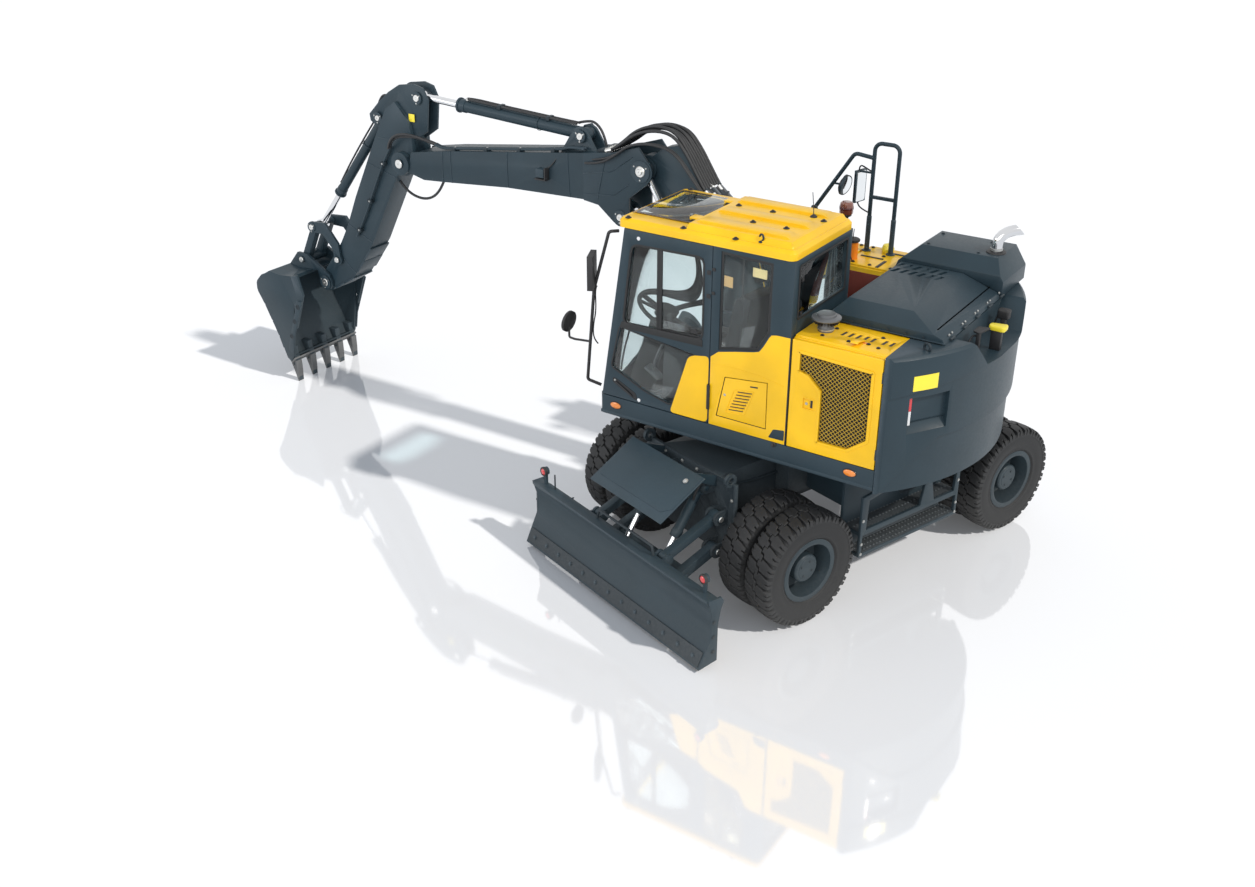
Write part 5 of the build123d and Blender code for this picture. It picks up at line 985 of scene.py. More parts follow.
plate("lower_window_seal", softened([(0.331, 2.098), (front_x(2.2) - 0.082, 2.2135), (1.256, 1.806),
                                     (0.905, 1.653), (0.632, 1.585)], 0.04), 1, 1.230, 1.2462, seal,
      "cab_door_body", 0.002, rim=0.014)
plate("door_band", ((0.331, 2.205), (front_x(2.2) - 0.088, 2.198), (front_x(2.25) - 0.104, 2.256),
                    (0.331, 2.268)), 1, 1.236, 1.2485, seal, "cab_door_body", 0.003)
for name, x, y0 in (("fixed", 0.762, 1.226), ("slider", 0.735, 1.2275)):
    plate("window_mullion_" + name, rect(x, 2.262, x + 0.026, 2.957), 1, y0, y0 + 0.014, seal,
          "cab_door_body", 0.002)
plate("slider_rail", ((0.345, 2.268), (0.75, 2.262), (0.75, 2.280), (0.345, 2.288)), 1, 1.222, 1.236, seal,
      "cab_door_body", 0.002)
plate("slider_lip", rect(0.345, 2.35, 0.75, 2.357), 1, 1.222, 1.230, seal, "cab_door_body", 0.001)
plate("slider_catch", softened(rect(0.40, 2.30, 0.46, 2.34), 0.01), 1, 1.214, 1.232, black, "cab_door_body",
      0.003)

# The yellow lower panels: pressed sheet over the door's rear corner and the wall behind it, with
# a crease, a louvred hatch, a small slot, a lock and a black grab handle on the seam.
plate("door_panel_yellow", softened(((0.266, 1.530), (0.266, 2.138), (0.425, 2.108), (0.470, 2.075),
                                     (0.640, 1.530)), 0.045, 5), 1, 1.238, 1.2478, yellow, "cab_door_body",
      0.004, segments=3)
plate("wall_panel_yellow", [(0.250, 1.526), (0.250, 2.141), (0.18, 2.198), (0.02, 2.236), (-0.150, 2.272),
                            (-0.196, 2.288), (-0.230, 2.335), (-0.282, 2.43), (-0.300, 2.452),
                            (-0.345, 2.462), (-0.4675, 2.464), (-0.4675, 1.526)], 1, 1.2380, 1.2478, yellow,
      "upper", 0.004, segments=3, cutters=(prism("hatch_hole",
                                                 ((0.1835, 1.6185), (0.1105, 1.9915), (-0.2875, 2.0355),
                                                  (-0.2915, 1.6185)), 1, 1.22, 1.26),))
edged("service_hatch", yellow, 0.0015)
# The louvre openings and the small slot are painted shade: black plates at the surface where the openings
# would be dark.
lips, louvre_shades = [], []
for k in range(7):
    z, shift = 1.897 - 0.030 * k, 0.013 * k
    louvre_shades.append(prism("gap", ((-0.018 + shift, z - 0.002), (-0.150 + shift, z + 0.013),
                              (-0.152 + shift, z + 0.001), (-0.018 + shift, z - 0.014)), 1, 1.2440, 1.2464))
    lips.append(prism("lip", ((-0.014 + shift, z + 0.010), (-0.148 + shift, z + 0.025),
                              (-0.150 + shift, z + 0.011), (-0.016 + shift, z - 0.004)), 1, 1.2440, 1.2505))
louvre_shades.append(prism("gap", ((-0.13, 1.968), (-0.20, 1.975), (-0.20, 1.963), (-0.13, 1.956)), 1, 1.2440,
                  1.2464))
settle(join("louvre_slit_shade", louvre_shades), black, "service_hatch_body")
settle(join("louvre_lips", lips), yellow, "service_hatch_body", 0.002)
plate("louvre_rim", softened(((0.022, 1.905), (-0.172, 1.927), (-0.085, 1.685), (0.105, 1.668)), 0.02), 1,
      1.243, 1.2485, yellow, "service_hatch_body", 0.0025, rim=0.012)
turned("hatch_lock", [(0.0, 0.0), (0.0, 0.004), (0.009, 0.004), (0.012, 0.0)], (0.105, 1.245, 1.83),
       (0, 1, 0), zinc, "service_hatch_body", 24)
plate("panel_crease", softened(((0.24, 2.085), (0.05, 2.095), (-0.20, 2.085), (-0.44, 2.045),
                                (-0.44, 2.040), (-0.20, 2.078), (0.05, 2.087), (0.24, 2.077)), 0.003), 1,
      1.246, 1.2495, yellow, "upper", 0.0012)
plate("wall_patch", softened(((-0.36, 1.640), (-0.462, 1.655), (-0.462, 1.560), (-0.318, 1.557)), 0.012), 1,
      1.2465, 1.2492, slate, "upper", 0.001)
turned("wall_knob", [(0.0, 0.0), (0.022, 0.0), (0.022, 0.010), (0.012, 0.014), (0.012, 0.035),
                     (0.0, 0.038)], (-0.375, 1.247, 1.505), (0, 1, 0.2), black, "upper", 24)
plate("seam_grab", softened(rect(0.2445, 1.66, 0.2715, 1.89), 0.010), 1, 1.2475, 1.262, black,
      "cab_door_body", 0.004, segments=3)
for x, z in ((0.965, 3.02), (0.955, 1.56)):
    turned("door_stud", [(0.0, 0.0), (0.016, 0.0), (0.016, 0.004), (0.0, 0.0065)], (x, 1.245, z), (0, 1, 0),
           white_lens, "cab_door_body", 24)
for z in (2.86, 2.66):
    plate("door_hinge", softened(rect(0.268, z - 0.018, 0.305, z + 0.018), 0.006), 1, 1.245, 1.252, black,
          "cab_door_body", 0.002)
    plate("pillar_hinge", softened(rect(0.228, z + 0.021, 0.257, z + 0.048), 0.006), 1, 1.245, 1.252, black,
          "upper", 0.002)
grab = softened(((1.235, 1.675), (1.190, 1.650), (0.985, 1.545), (0.975, 1.575), (0.990, 1.615),
                 (1.170, 1.700), (1.225, 1.715)), 0.015)
plate("door_grab_tray", grab, 1, 1.240, 1.2485, seal, "cab_door_body", 0.002, rim=0.009)
plate("door_grab_floor", grab, 1, 1.2385, 1.2465, black, "cab_door_body", 0.001)
plate("door_grab_bar", softened(((1.19, 1.685), (1.02, 1.590), (1.025, 1.575), (1.20, 1.668)), 0.006), 1,
      1.248, 1.258, black, "cab_door_body", 0.003)
turned("door_grab_lock", [(0.0, 0.0), (0.0, 0.006), (0.008, 0.006), (0.011, 0.0)], (1.205, 1.248, 1.692),
       (0, 1, 0), zinc, "cab_door_body", 20)
plate("rear_glass_border", [(-0.285, 2.460), (-0.185, 2.290), (0.180, 2.215), (0.180, 3.060),
                            (-0.285, 3.045)], 1, 1.234, 1.240, seal, "upper", 0.001, rim=0.024)
plate("rear_glass_slide", rect(-0.02, 2.27, -0.008, 3.04), 1, 1.222, 1.230, seal, "upper", 0.001)
plate("blank_label_large", softened(((-0.10, 2.90), (-0.225, 2.895), (-0.225, 2.97), (-0.10, 2.975)),
                                    0.004), 1, 1.2285, 1.2295, paint("label_cream", (0.85, 0.62, 0.30),
                                        (0.9, 0.8, 0.6), gloss=0.4, rub=0, dust=0), "upper", 0.0)
plate("blank_label_small", softened(((0.155, 2.77), (0.075, 2.765), (0.075, 2.855), (0.155, 2.86)), 0.004),
      1, 1.2285, 1.2295, paint("label_tan", (0.60, 0.34, 0.13), (0.8, 0.6, 0.4), gloss=0.4, rub=0, dust=0),
      "upper", 0.0)
for z in (2.02, 2.28, 2.62, 2.90):
    plate("rear_pillar_clip", rect(-0.484, z, -0.472, z + 0.03), 1, 1.10, 1.13, black, "upper", 0.002)
plate("rear_window_seal", softened(rect(0.31 - 0.012, 2.588, 1.155 + 0.012, 3.044), 0.03), 0, -0.478,
      -0.466, seal, "upper", 0.003, rim=0.020)
tube("front_pillar_hose", [(1.395, 1.235, 2.52), (1.41, 1.245, 2.50), (1.40, 1.245, 2.30),
                           (1.435, 1.245, 2.15), (1.44, 1.235, 2.02), (1.40, 1.22, 1.98)], 0.006, black,
     "upper")
tube("wiper_arm", [(1.262, 0.90, 1.70), (1.250, 0.86, 2.10), (1.205, 0.82, 2.40)], 0.007, black, "upper")
plate("wiper_blade", rect(0.80, 2.10, 0.83, 2.62), 0, -0.004, 0.008, black, "upper",
      0.002).data.transform(Matrix.Translation((1.262, 0, 2.10)) @ Matrix.Rotation(-atan2(FRONT_SLOPE, 1),
          4, "Y") @ Matrix.Translation((0, 0, -2.10)))
for y in (0.42, 1.06):
    turned("cab_front_lamp_%d" % (100 * y), [(0.0, 0.0), (0.05, 0.0), (0.056, 0.03), (0.056, 0.055),
                                             (0.048, 0.060), (0.0, 0.060)], (1.118, y, 3.03), (1, 0, 0.15),
           black, "upper", 28)
    turned("cab_front_lens_%d" % (100 * y), [(0.0, 0.060), (0.048, 0.060), (0.03, 0.066), (0.0, 0.068)],
           (1.118, y, 3.03), (1, 0, 0.15), white_lens, "upper", 28)

# The roof: one moulded yellow panel with three ribs, a glass hatch at the front held by yellow
# clips, black bolt heads, a lifting eye at each rear corner and a short aerial.
edged("cab_roof", yellow, 0.008, 3)
for x, y in ((0.555, 0.26), (0.555, 1.215), (0.07, 1.225), (0.10, 0.56), (0.10, 0.895), (-0.36, 0.56),
             (0.42, 0.56), (-0.20, 0.895), (1.08, 1.225), (1.08, 0.24)):
    high = 3.218 if 0.27 < y < 1.2 and x < 0.5 else 3.172
    turned("roof_washer", [(0.0, 0.0), (0.026, 0.0), (0.026, 0.004), (0.017, 0.009), (0.0, 0.009)],
           (x, y, high), (0, 0, 1), black, "upper", 24)
    bolts("roof_bolt", [(x, y, high + 0.008)], (0, 0, 1), 0.012, black, "upper")
for x, y in ((-0.14, 1.19), (-0.14, 0.27)):
    turned("roof_eye", ring(0.024, 0.008, 0.008), (x, y, 3.215), (0.5, 1, 0), dark_steel, "upper", 24)
    turned("roof_eye_seat", [(0.0, 0.0), (0.026, 0.0), (0.026, 0.006), (0.012, 0.016), (0.0, 0.016)],
           (x, y, 3.176), (0, 0, 1), dark_steel, "upper", 24)
tube("roof_aerial", [(-0.24, 0.50, 3.225), (-0.235, 0.495, 3.28), (-0.19, 0.44, 3.40)], 0.0035, black,
     "upper")
turned("roof_aerial_seat", [(0.0, 0.0), (0.03, 0.0), (0.028, 0.010), (0.010, 0.024), (0.0, 0.024)],
       (-0.24, 0.50, 3.216), (0, 0, 1), black, "upper", 28)
for y in (0.41, 0.97):
    plate("hatch_clip_%d" % (100 * y), softened(rect(0.53, y - 0.045, 0.625, y + 0.045), 0.012), 2, 3.180,
          3.205, yellow, "upper", 0.006)
    plate("hatch_clip_pad_%d" % (100 * y), softened(rect(0.545, y - 0.060, 0.60, y + 0.060), 0.010), 2,
          3.176, 3.190, seal, "upper", 0.003)
plate("hatch_seal", softened(rect(0.578, 0.312, 1.112, 1.068), 0.03), 2, 3.1725, 3.1745, seal, "upper", 0.0,
      rim=0.03)
for y in (0.5, 0.88):
    plate("hatch_stud_%d" % (100 * y), rect(1.07, y - 0.02, 1.09, y + 0.02), 2, 3.180, 3.186, black,
          "upper", 0.002)

# Inside: steering wheel on a tilted column, joystick consoles, a screen, a cup of instruments and
# a ribbed floor mat, all moulded black plastic over steel brackets.
edged("cab_controls", black, 0.008, 3)
CAB_MID = 0.740
tilt = Matrix.Translation((1.000, CAB_MID, 2.262)) @ Matrix.Rotation(radians(-28), 4, "Y")
turned("steering_rim", ring(0.185, 0.0165, 0.0165, 10), (0, 0, 0), (0, 0, 1), black, "upper",
       48).data.transform(tilt)
turned("steering_boss", [(0.0, -0.02), (0.055, -0.02), (0.06, 0.01), (0.045, 0.03), (0.0, 0.034)],
       (0, 0, 0), (0, 0, 1), seal, "upper", 32).data.transform(tilt)
for a in (0.5, 2.64, -1.57):
    made = plate("steering_spoke", ((0.04, -0.016), (0.18, -0.011), (0.18, 0.011), (0.04, 0.016)), 2,
                 -0.006, 0.008, black, "upper", 0.003)
    made.data.transform(tilt @ Matrix.Rotation(a, 4, "Z"))
turned("steering_knob", [(0.0, 0.0), (0.010, 0.0), (0.010, 0.02), (0.022, 0.03), (0.022, 0.055),
                         (0.0, 0.062)], (-0.11, -0.148, 0.01), (0, 0, 1), black, "upper",
       20).data.transform(tilt)
for y in (0.443, 1.037):
    plate("armrest_%d" % (100 * y), softened(rect(0.20, y - 0.055, 0.67, y + 0.055), 0.04), 2, 2.142, 2.175,
          black, "upper", 0.010, segments=3)
    turned("joystick_%d" % (100 * y), [(0.0, 0.0), (0.045, 0.0), (0.03, 0.03), (0.015, 0.06), (0.014, 0.10),
                                       (0.024, 0.13), (0.028, 0.20), (0.018, 0.22), (0.0, 0.222)],
           (0.75, y, 2.142), (0.15, 0, 1), black, "upper", 24)
    bolts("console_knobs_%d" % (100 * y), [(0.55 + 0.04 * i, y, 2.176) for i in range(3)], (0, 0, 1), 0.012,
          grey, "upper")
screen = plate("screen", softened(rect(-0.11, -0.075, 0.11, 0.075), 0.015), 0, -0.015, 0.015, black,
               "upper", 0.006)
screen.data.transform(Matrix.Translation((1.06, 0.34, 2.40)) @ Matrix.Rotation(radians(-28), 4, "Z"))
tube("screen_stem", [(1.08, 0.33, 2.33), (1.13, 0.31, 2.15), (1.17, 0.30, 1.95)], 0.014, black, "upper")
for k in range(14):
    plate("mat_rib_%d" % k, rect(0.42 + 0.055 * k, 0.33, 0.435 + 0.055 * k, 1.13), 2, 1.582, 1.588, seal,
          "upper", 0.0)
for y in (0.62, 0.86):
    plate("pedal_%d" % (100 * y), rect(0.98, y - 0.04, 1.10, y + 0.04), 2, 1.70, 1.712, grey, "upper",
          0.003).data.transform(Matrix.Translation((1.04, 0, 1.70)) @ Matrix.Rotation(radians(-32), 4,
              "Y") @ Matrix.Translation((-1.04, 0, -1.70)))
    tube("pedal_lever_%d" % (100 * y), [(1.05, y, 1.70), (1.01, y, 1.84), (1.00, y, 2.00), (0.97, y, 2.05)],
         0.008, grey, "upper")
edged("engine_block", dark_steel, 0.02, 3)

# The seat: a steel pan on a suspension box, with foam cushions sewn in black cloth whose cloth
# bulges between the piping. The cushions are blown up as cloth, so they sag as sewn ones do.
weave = bpy.data.materials.new("seat_cloth")
weave.use_nodes = True
net = weave.node_tree
spot = shader(net, "TexCoord").outputs["Object"]
knit = shader(net, "TexVoronoi", {"Vector": spot, "Scale": 240})
worn = shader(net, "TexNoise", {"Vector": spot, "Scale": 7})
shade = shader(net, "Mix", {"Factor": worn.outputs["Fac"], "A": (0.016, 0.017, 0.019, 1),
                            "B": (0.040, 0.042, 0.046, 1)}, data_type="RGBA")
dent = shader(net, "Bump", {"Strength": 0.5, "Distance": 0.002, "Height": knit.outputs["Distance"]})
feed(net, net.nodes["Principled BSDF"], {"Base Color": shade.outputs["Result"], "Roughness": 0.85,
                                         "Normal": dent.outputs["Normal"]})


def cushion(name, shape, cap):
    """A foam cushion from its outline seen from the side, blown up as cloth and sewn."""
    outline, half, rim = shape
    made = prism(name, softened(outline, rim, 5), 1, CAB_MID - half, CAB_MID + half)
    only(made)
    modify(made, "round", "BEVEL", width=0.022, segments=3)
    modify(made, "skin", "REMESH", mode="VOXEL", voxel_size=0.006)
    before = [v.co.copy() for v in made.data.vertices]
    cloth = made.modifiers.new("cloth", "CLOTH")
    cloth.settings.use_pressure = True
    cloth.settings.uniform_pressure_force = 4
    cloth.settings.effector_weights.gravity = 0
    for frame_number in range(1, 21):
        bpy.context.scene.frame_set(frame_number)
    bpy.ops.object.modifier_apply(modifier="cloth")
    for vertex, start in zip(made.data.vertices, before):
        step = vertex.co - start
        if step.length > cap:
            vertex.co = start + step * (cap / step.length)
    bpy.context.scene.frame_set(1)
    modify(made, "finer", "SUBSURF", levels=1, render_levels=1)
    bpy.ops.object.shade_smooth()
    made.data.materials.clear()
    made.data.materials.append(weave)
    return made


pads = (("seat_cushion", (((0.170, 1.912), (0.660, 1.905), (0.668, 1.985), (0.600, 2.008), (0.200, 2.000)),
                          0.232, 0.030), 0.010), ("back_cushion", (((0.178, 2.020), (0.262, 2.020),
                              (0.172, 2.585), (0.088, 2.585)), 0.225, 0.030), 0.012),
        ("head_cushion", (((0.082, 2.625), (0.152, 2.625), (0.128, 2.795), (0.072, 2.795)), 0.125, 0.025),
         0.010))
for name, shape, cap in pads:
    made = cushion(name, shape, cap)
    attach(made, "upper")
folds = [(0.205, 0.0)]
for k in range(6):
    folds += [(0.195, 0.012 + 0.045 * k), (0.205, 0.026 + 0.045 * k), (0.195, 0.040 + 0.045 * k)]
folds += [(0.195, 0.300)]
bellows = prism("seat_base", [(y, 1.582 + h) for y, h in folds] + [(-y, 1.582 + h) for y,
    h in reversed(folds)], 0, 0.20, 0.63)
bellows.data.transform(Matrix.Translation((0, CAB_MID, 0)))
pan = prism("seat_pan", softened(((0.155, 1.885), (0.675, 1.885), (0.675, 1.915), (0.155, 1.925)), 0.01), 1,
            0.495, 0.985)
shell = prism("seat_shell", softened(((0.150, 1.900), (0.172, 1.900), (0.172, 2.020), (0.080, 2.590),
                                      (0.065, 2.590), (0.142, 2.015)), 0.006), 1, 0.500, 0.980)
stalks = []
for y in (0.70, 0.78):
    stalks.append(prism("stalk", rect(0.085, 2.57, 0.097, 2.66), 1, y - 0.006, y + 0.006))
made = join("seat_frame", [bellows, pan, shell] + stalks)
settle(made, seal, "upper", 0.003, smooth=0)
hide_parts("cab_seat")
for k, x in enumerate((0.35, 0.49)):
    tube("seat_piping_%d" % k, [(x, 0.512, 1.99), (x, 0.53, 2.011), (x, 0.74, 2.019), (x, 0.95, 2.011),
                                (x, 0.968, 1.99)], 0.004, weave, "upper")
tube("seat_belt", [(0.27, 0.498, 1.95), (0.28, 0.505, 2.02), (0.30, 0.53, 2.025), (0.35, 0.74, 2.030),
                   (0.31, 0.93, 2.025), (0.28, 0.975, 1.99)], 0.012, seal, "upper")

# The mirrors on the cab's front left corner: a bent tube clamped to the pillar carries a
# rectangular mirror in a deep shell and, lower down, a round wide-angle one. All sprayed black.
edged("mirror_rail", black)

# The boom: welded box sections in slate with cast ends, weld beads round the joining plates,
# bright pin ends behind keeper plates, and steel pipes clamped along the left top edge.
edged("lower_boom", slate)
edged("upper_boom", slate)
hose = paint("hose_cover", (0.014, 0.015, 0.017), (0.05, 0.05, 0.05), gloss=0.42, rub=0.2, dust=0.12,
             coat=0.0)
bright = paint("bright_pin", (0.72, 0.72, 0.70), (0.8, 0.8, 0.8), gloss=0.22, rub=0.2, dust=0.1,
               metallic=0.9, coat=0.0)
MID = -0.210


def pin_end(name, x, z, out, radius, body, keeper=0.0):
    """A pin's two bright ends, each chamfered, with a centre hole, and a bolted keeper plate."""
    for side in (-1, 1):
        turned(name, [(0.0, 0.0), (radius, 0.0), (radius, 0.010), (radius * 0.88, 0.015),
                      (radius * 0.22, 0.015), (radius * 0.16, 0.008), (0.0, 0.008)],
               (x, MID + side * out, z), (0, side, 0), bright, body, 36)
        if keeper:
            turned(name + "_collar", [(radius + 0.004, 0.0), (keeper, 0.0), (keeper, 0.006),
                                      (keeper - 0.005, 0.010), (radius + 0.004, 0.010)],
                   (x, MID + side * out, z), (0, side, 0), slate, body, 40)
            bolts(name + "_bolts", [(x + (keeper + radius) / 2 * cos(a), MID + side * (out + 0.008),
                                     z + (keeper + radius) / 2 * sin(a)) for a in (0.6, 2.6, 4.7)],
                  (0, side, 0), 0.009, zinc, body)


def bead(name, line, out, body):
    """A weld bead along a line on both sides."""
    for side in (-1, 1):
        tube(name, [(x, MID + side * out, z) for x, z in line], 0.0045, slate, body, order=2, sides=1)


pin_end("main_pin", 1.773, 3.171, 0.205, 0.052, "upper_boom_body", 0.105)
pin_end("adjust_pin", 2.000, 2.700, 0.205, 0.034, "upper_boom_body", 0.070)
pin_end("lift_pin", 1.773, 3.171, 0.2205, 0.030, "upper_boom_body")
for line in (((4.205, 3.008), (4.215, 2.692)), ((4.100, 3.024), (4.095, 2.699)),
             ((3.36, 3.121), (3.36, 2.767)), ((2.62, 3.218), (2.60, 2.793))):
    bead("boom_weld", line, 0.1835, "upper_boom_body")
for line in (((1.90, 3.03), (2.07, 2.90), (2.42, 2.86)), ((1.86, 3.29), (2.10, 3.12), (2.42, 3.06)),
             ((2.165, 3.24), (2.26, 2.83))):
    bead("cheek_weld", line, 0.2055, "upper_boom_body")
for k, y in enumerate((-0.052, -0.088)):
    tube("boom_pipe_%d" % k, [(2.44, y, 3.275), (2.62, y, 3.275), (2.70, y, 3.232), (4.10, y, 3.048),
                              (4.24, y, 3.030), (4.33, y - 0.01, 3.055)], 0.0125, slate, "upper_boom_body",
         sides=4)
for x in (2.80, 3.22, 3.64, 4.06):
    z = 3.290 - (x - 2.088) * 0.13227
    plate("pipe_clamp", ((x - 0.022, z - 0.062), (x + 0.022, z - 0.068), (x + 0.022, z - 0.032),
                         (x - 0.022, z - 0.026)), 1, -0.110, -0.030, dark_steel, "upper_boom_body",
          0.004).data.transform(Matrix.Translation((0, 0, 0.062)))
    bolts("clamp_bolt", [(x, -0.070, z + 0.030)], (0, 0, 1), 0.010, zinc, "upper_boom_body")
plate("boom_lamp_bracket", ((2.84, 2.925), (2.97, 2.925), (2.97, 2.940), (2.855, 2.940), (2.855, 3.05),
                            (2.84, 3.05)), 1, -0.025, 0.046, black, "upper_boom_body", 0.003)
for z in (2.975, 3.015):
    turned("boom_lamp_lens", [(0.0, 0.0), (0.018, 0.0), (0.016, 0.004), (0.0, 0.006)], (2.950, 0.010, z),
           (1, 0, 0), white_lens, "upper_boom_body", 24)
plate("boom_lamp_frame", softened(rect(-0.022, 2.957, 0.044, 3.033), 0.01), 0, 2.945, 2.9535, black,
      "upper_boom_body", 0.002, rim=0.010)
tube("boom_lamp_lead", [(2.86, 0.0, 3.03), (2.80, -0.01, 3.07), (2.74, -0.04, 3.17), (2.70, -0.06, 3.22)],
     0.006, hose, "upper_boom_body")

# Fittings on top of the joint and the hoses that arch over it: eight black hoses with crimped
# bright ends leave the block, rise over the pin and run down the back of the lower boom.
plate("fitting_block", ((2.17, 3.255), (2.30, 3.240), (2.30, 3.292), (2.17, 3.305)), 1, -0.350, -0.070,
      dark_steel, "upper_boom_body", 0.006)
sleeve = paint("woven_sleeve", (0.15, 0.16, 0.17), (0.25, 0.25, 0.25), gloss=0.7, rub=0.2, dust=0.2,
               coat=0.0)
lanes = [-0.345 + 0.0385 * k for k in range(8)]
rises = (0.055, 0.075, 0.050, 0.085, 0.060, 0.070, 0.090, 0.055)
for k, (y, rise) in enumerate(zip(lanes, rises)):
    tube("joint_hose_%d" % k, [(2.16, y, 3.300), (2.06, y, 3.330 + rise * 0.4),
                               (1.88, y * 0.98, 3.435 + rise), (1.66, y, 3.500 + rise),
                               (1.46, y, 3.500 + rise * 0.6), (1.32, y, 3.375), (1.215, y, 3.21),
                               (1.13, y, 3.085)], 0.0155, hose, None, between=("upper_boom_body",
                                   "lower_boom_body"))
    turned("hose_crimp_%d" % k, [(0.0, 0.0), (0.019, 0.0), (0.019, 0.045), (0.0165, 0.05), (0.0, 0.05)],
           (2.185, y, 3.292), (-1, 0, 0.30), bright, "upper_boom_body", 16)
    bolts("hose_nut_%d" % k, [(2.198, y, 3.288)], (-1, 0, 0.30), 0.021, bright, "upper_boom_body")
    turned("low_crimp_%d" % k, [(0.0145, 0.0), (0.0185, 0.0), (0.0185, 0.050), (0.0145, 0.054)],
           (1.122 - 0.04 * (k % 3), y, 3.072 - 0.032 * (k % 3)), (0.70, 0, 0.71),
           zinc if k % 2 else dark_steel, "lower_boom_body", 16)
for k, x in enumerate((1.05, 0.86)):
    z = 2.98 - (1.05 - x) * 0.84
    plate("hose_comb_%d" % k, rect(x - 0.02, z - 0.05, x + 0.02, z + 0.045), 1, -0.365, -0.055, dark_steel,
          "lower_boom_body", 0.004)
for k, y in enumerate(lanes):
    tube("low_hose_%d" % k, [(1.118, y, 3.068), (1.04, y, 3.005), (0.86, y, 2.86), (0.62, y, 2.64),
                             (0.40, y, 2.37), (0.25, y, 2.16), (0.16, y, 2.02)], 0.0155,
         hose if k % 3 else sleeve, "lower_boom_body")
for k, (y, lift) in enumerate(((-0.012, 0.0), (0.012, 0.03))):
    tube("side_hose_%d" % k, [(2.40, y - 0.02, 3.19 - lift), (2.20, y + 0.02, 3.22 - lift),
                              (2.02, y + 0.03, 3.30), (1.86, y + 0.02, 3.42), (1.62, y, 3.45),
                              (1.42, y - 0.03, 3.40), (1.25, y - 0.04, 3.20), (1.13, y - 0.045, 3.06)],
         0.012, hose, None, between=("upper_boom_body", "lower_boom_body"))
pin_end("foot_pin", 0.300, 1.950, 0.268, 0.040, "upper")

# The arm: a welded box that tapers to the bucket, with two arched plates on its back for the
# cylinders, ribs on its front edge and pipes down its left side.
edged("arm", slate)
pin_end("arm_pin", 4.785, 2.801, 0.219, 0.046, "arm_body")
pin_end("bucket_pin", 6.124, 1.219, 0.192, 0.043, "bucket_body", 0.078)
pin_end("link_pin", 5.896, 1.530, 0.190, 0.032, "arm_body")
pin_end("upper_link_pin", 6.263, 1.849, 0.182, 0.032, "side_link_pair", 0.058)
pin_end("lower_link_pin", 6.478, 1.426, 0.192, 0.032, "bucket_link_body")
pin_end("arm_cylinder_pin", 4.573, 3.486, 0.110, 0.036, "arm_body", 0.066)
pin_end("bucket_cylinder_pin", 5.143, 3.213, 0.110, 0.030, "arm_body", 0.060)
pin_end("arm_cylinder_foot", 2.520, 3.375, 0.110, 0.034, "upper_boom_body", 0.060)
for line in (((4.86, 3.02), (5.13, 3.02)), ((4.93, 2.62), (5.33, 2.72)), ((5.36, 1.82), (5.70, 1.97)),
             ((5.66, 1.40), (5.93, 1.62))):
    bead("arm_weld", line, 0.1405, "arm_body")


def strip(a, b, thick):
    """The outline of a strip laid along the line from a to b."""
    dx, dz = b[0] - a[0], b[1] - a[1]
    nx, nz = -dz / hypot(dx, dz) * thick, dx / hypot(dx, dz) * thick
    return a, b, (b[0] + nx, b[1] + nz), (a[0] + nx, a[1] + nz)


for k, (a, b) in enumerate((((5.40, 1.745), (5.52, 1.590)), ((5.52, 1.585), (5.64, 1.430)),
                            ((5.70, 1.352), (5.85, 1.268)), ((5.87, 1.256), (6.02, 1.168)))):
    plate("wear_rib_%d" % k, strip(a, b, -0.02), 1, MID - 0.150, MID + 0.150, slate, "arm_body", 0.005)
plate("arm_blank_plate", softened(rect(4.62, 3.235, 4.70, 3.315), 0.008), 1, MID + 0.1075, MID + 0.1105,
      label_yellow, "arm_body", 0.001)
for k, y in enumerate((MID + 0.152, MID + 0.176)):
    tube("arm_pipe_%d" % k, [(4.93, y, 2.95), (5.02, y, 2.83), (5.20, y, 2.50), (5.42, y, 2.07),
                             (5.56, y, 1.86)], 0.0085, slate, "arm_body", sides=4)
for k, (x, z) in enumerate(((5.06, 2.755), (5.30, 2.31), (5.50, 1.95))):
    plate("arm_clamp_%d" % k, softened(rect(x - 0.03, z - 0.02, x + 0.03, z + 0.02), 0.006), 1, MID + 0.138,
          MID + 0.190, dark_steel, "arm_body", 0.003)
    bolts("arm_clamp_bolt_%d" % k, [(x, MID + 0.190, z)], (0, 1, 0), 0.008, zinc, "arm_body")
for k, off in enumerate((0.0, 0.030)):
    tube("arm_loop_%d" % k, [(4.33, MID + 0.120 + off, 3.055), (4.42, MID + 0.170 + off, 3.10),
                             (4.56, MID + 0.235 + off, 3.12 + off), (4.74, MID + 0.245 + off, 3.10 + off),
                             (4.88, MID + 0.215 + off, 3.03), (4.94, MID + 0.170 + off, 2.94)], 0.013, hose,
         None, between=("upper_boom_body", "arm_body"))
tube("arm_under_loop", [(4.30, MID + 0.06, 2.69), (4.38, MID + 0.06, 2.52), (4.60, MID + 0.05, 2.40),
                        (4.86, MID + 0.05, 2.45), (4.95, MID + 0.05, 2.56)], 0.014, hose, None,
     between=("upper_boom_body", "arm_body"))
for k, side in enumerate((-1, 1)):
    tube("bucket_line_%d" % k, [(5.02, MID + side * 0.020, 3.30), (5.00, MID + side * 0.045, 3.44),
                                (5.10, MID + side * 0.055, 3.46), (5.20, MID + side * 0.050, 3.30),
                                (5.245, MID + side * 0.04, 3.16)], 0.012, hose, "arm_body")

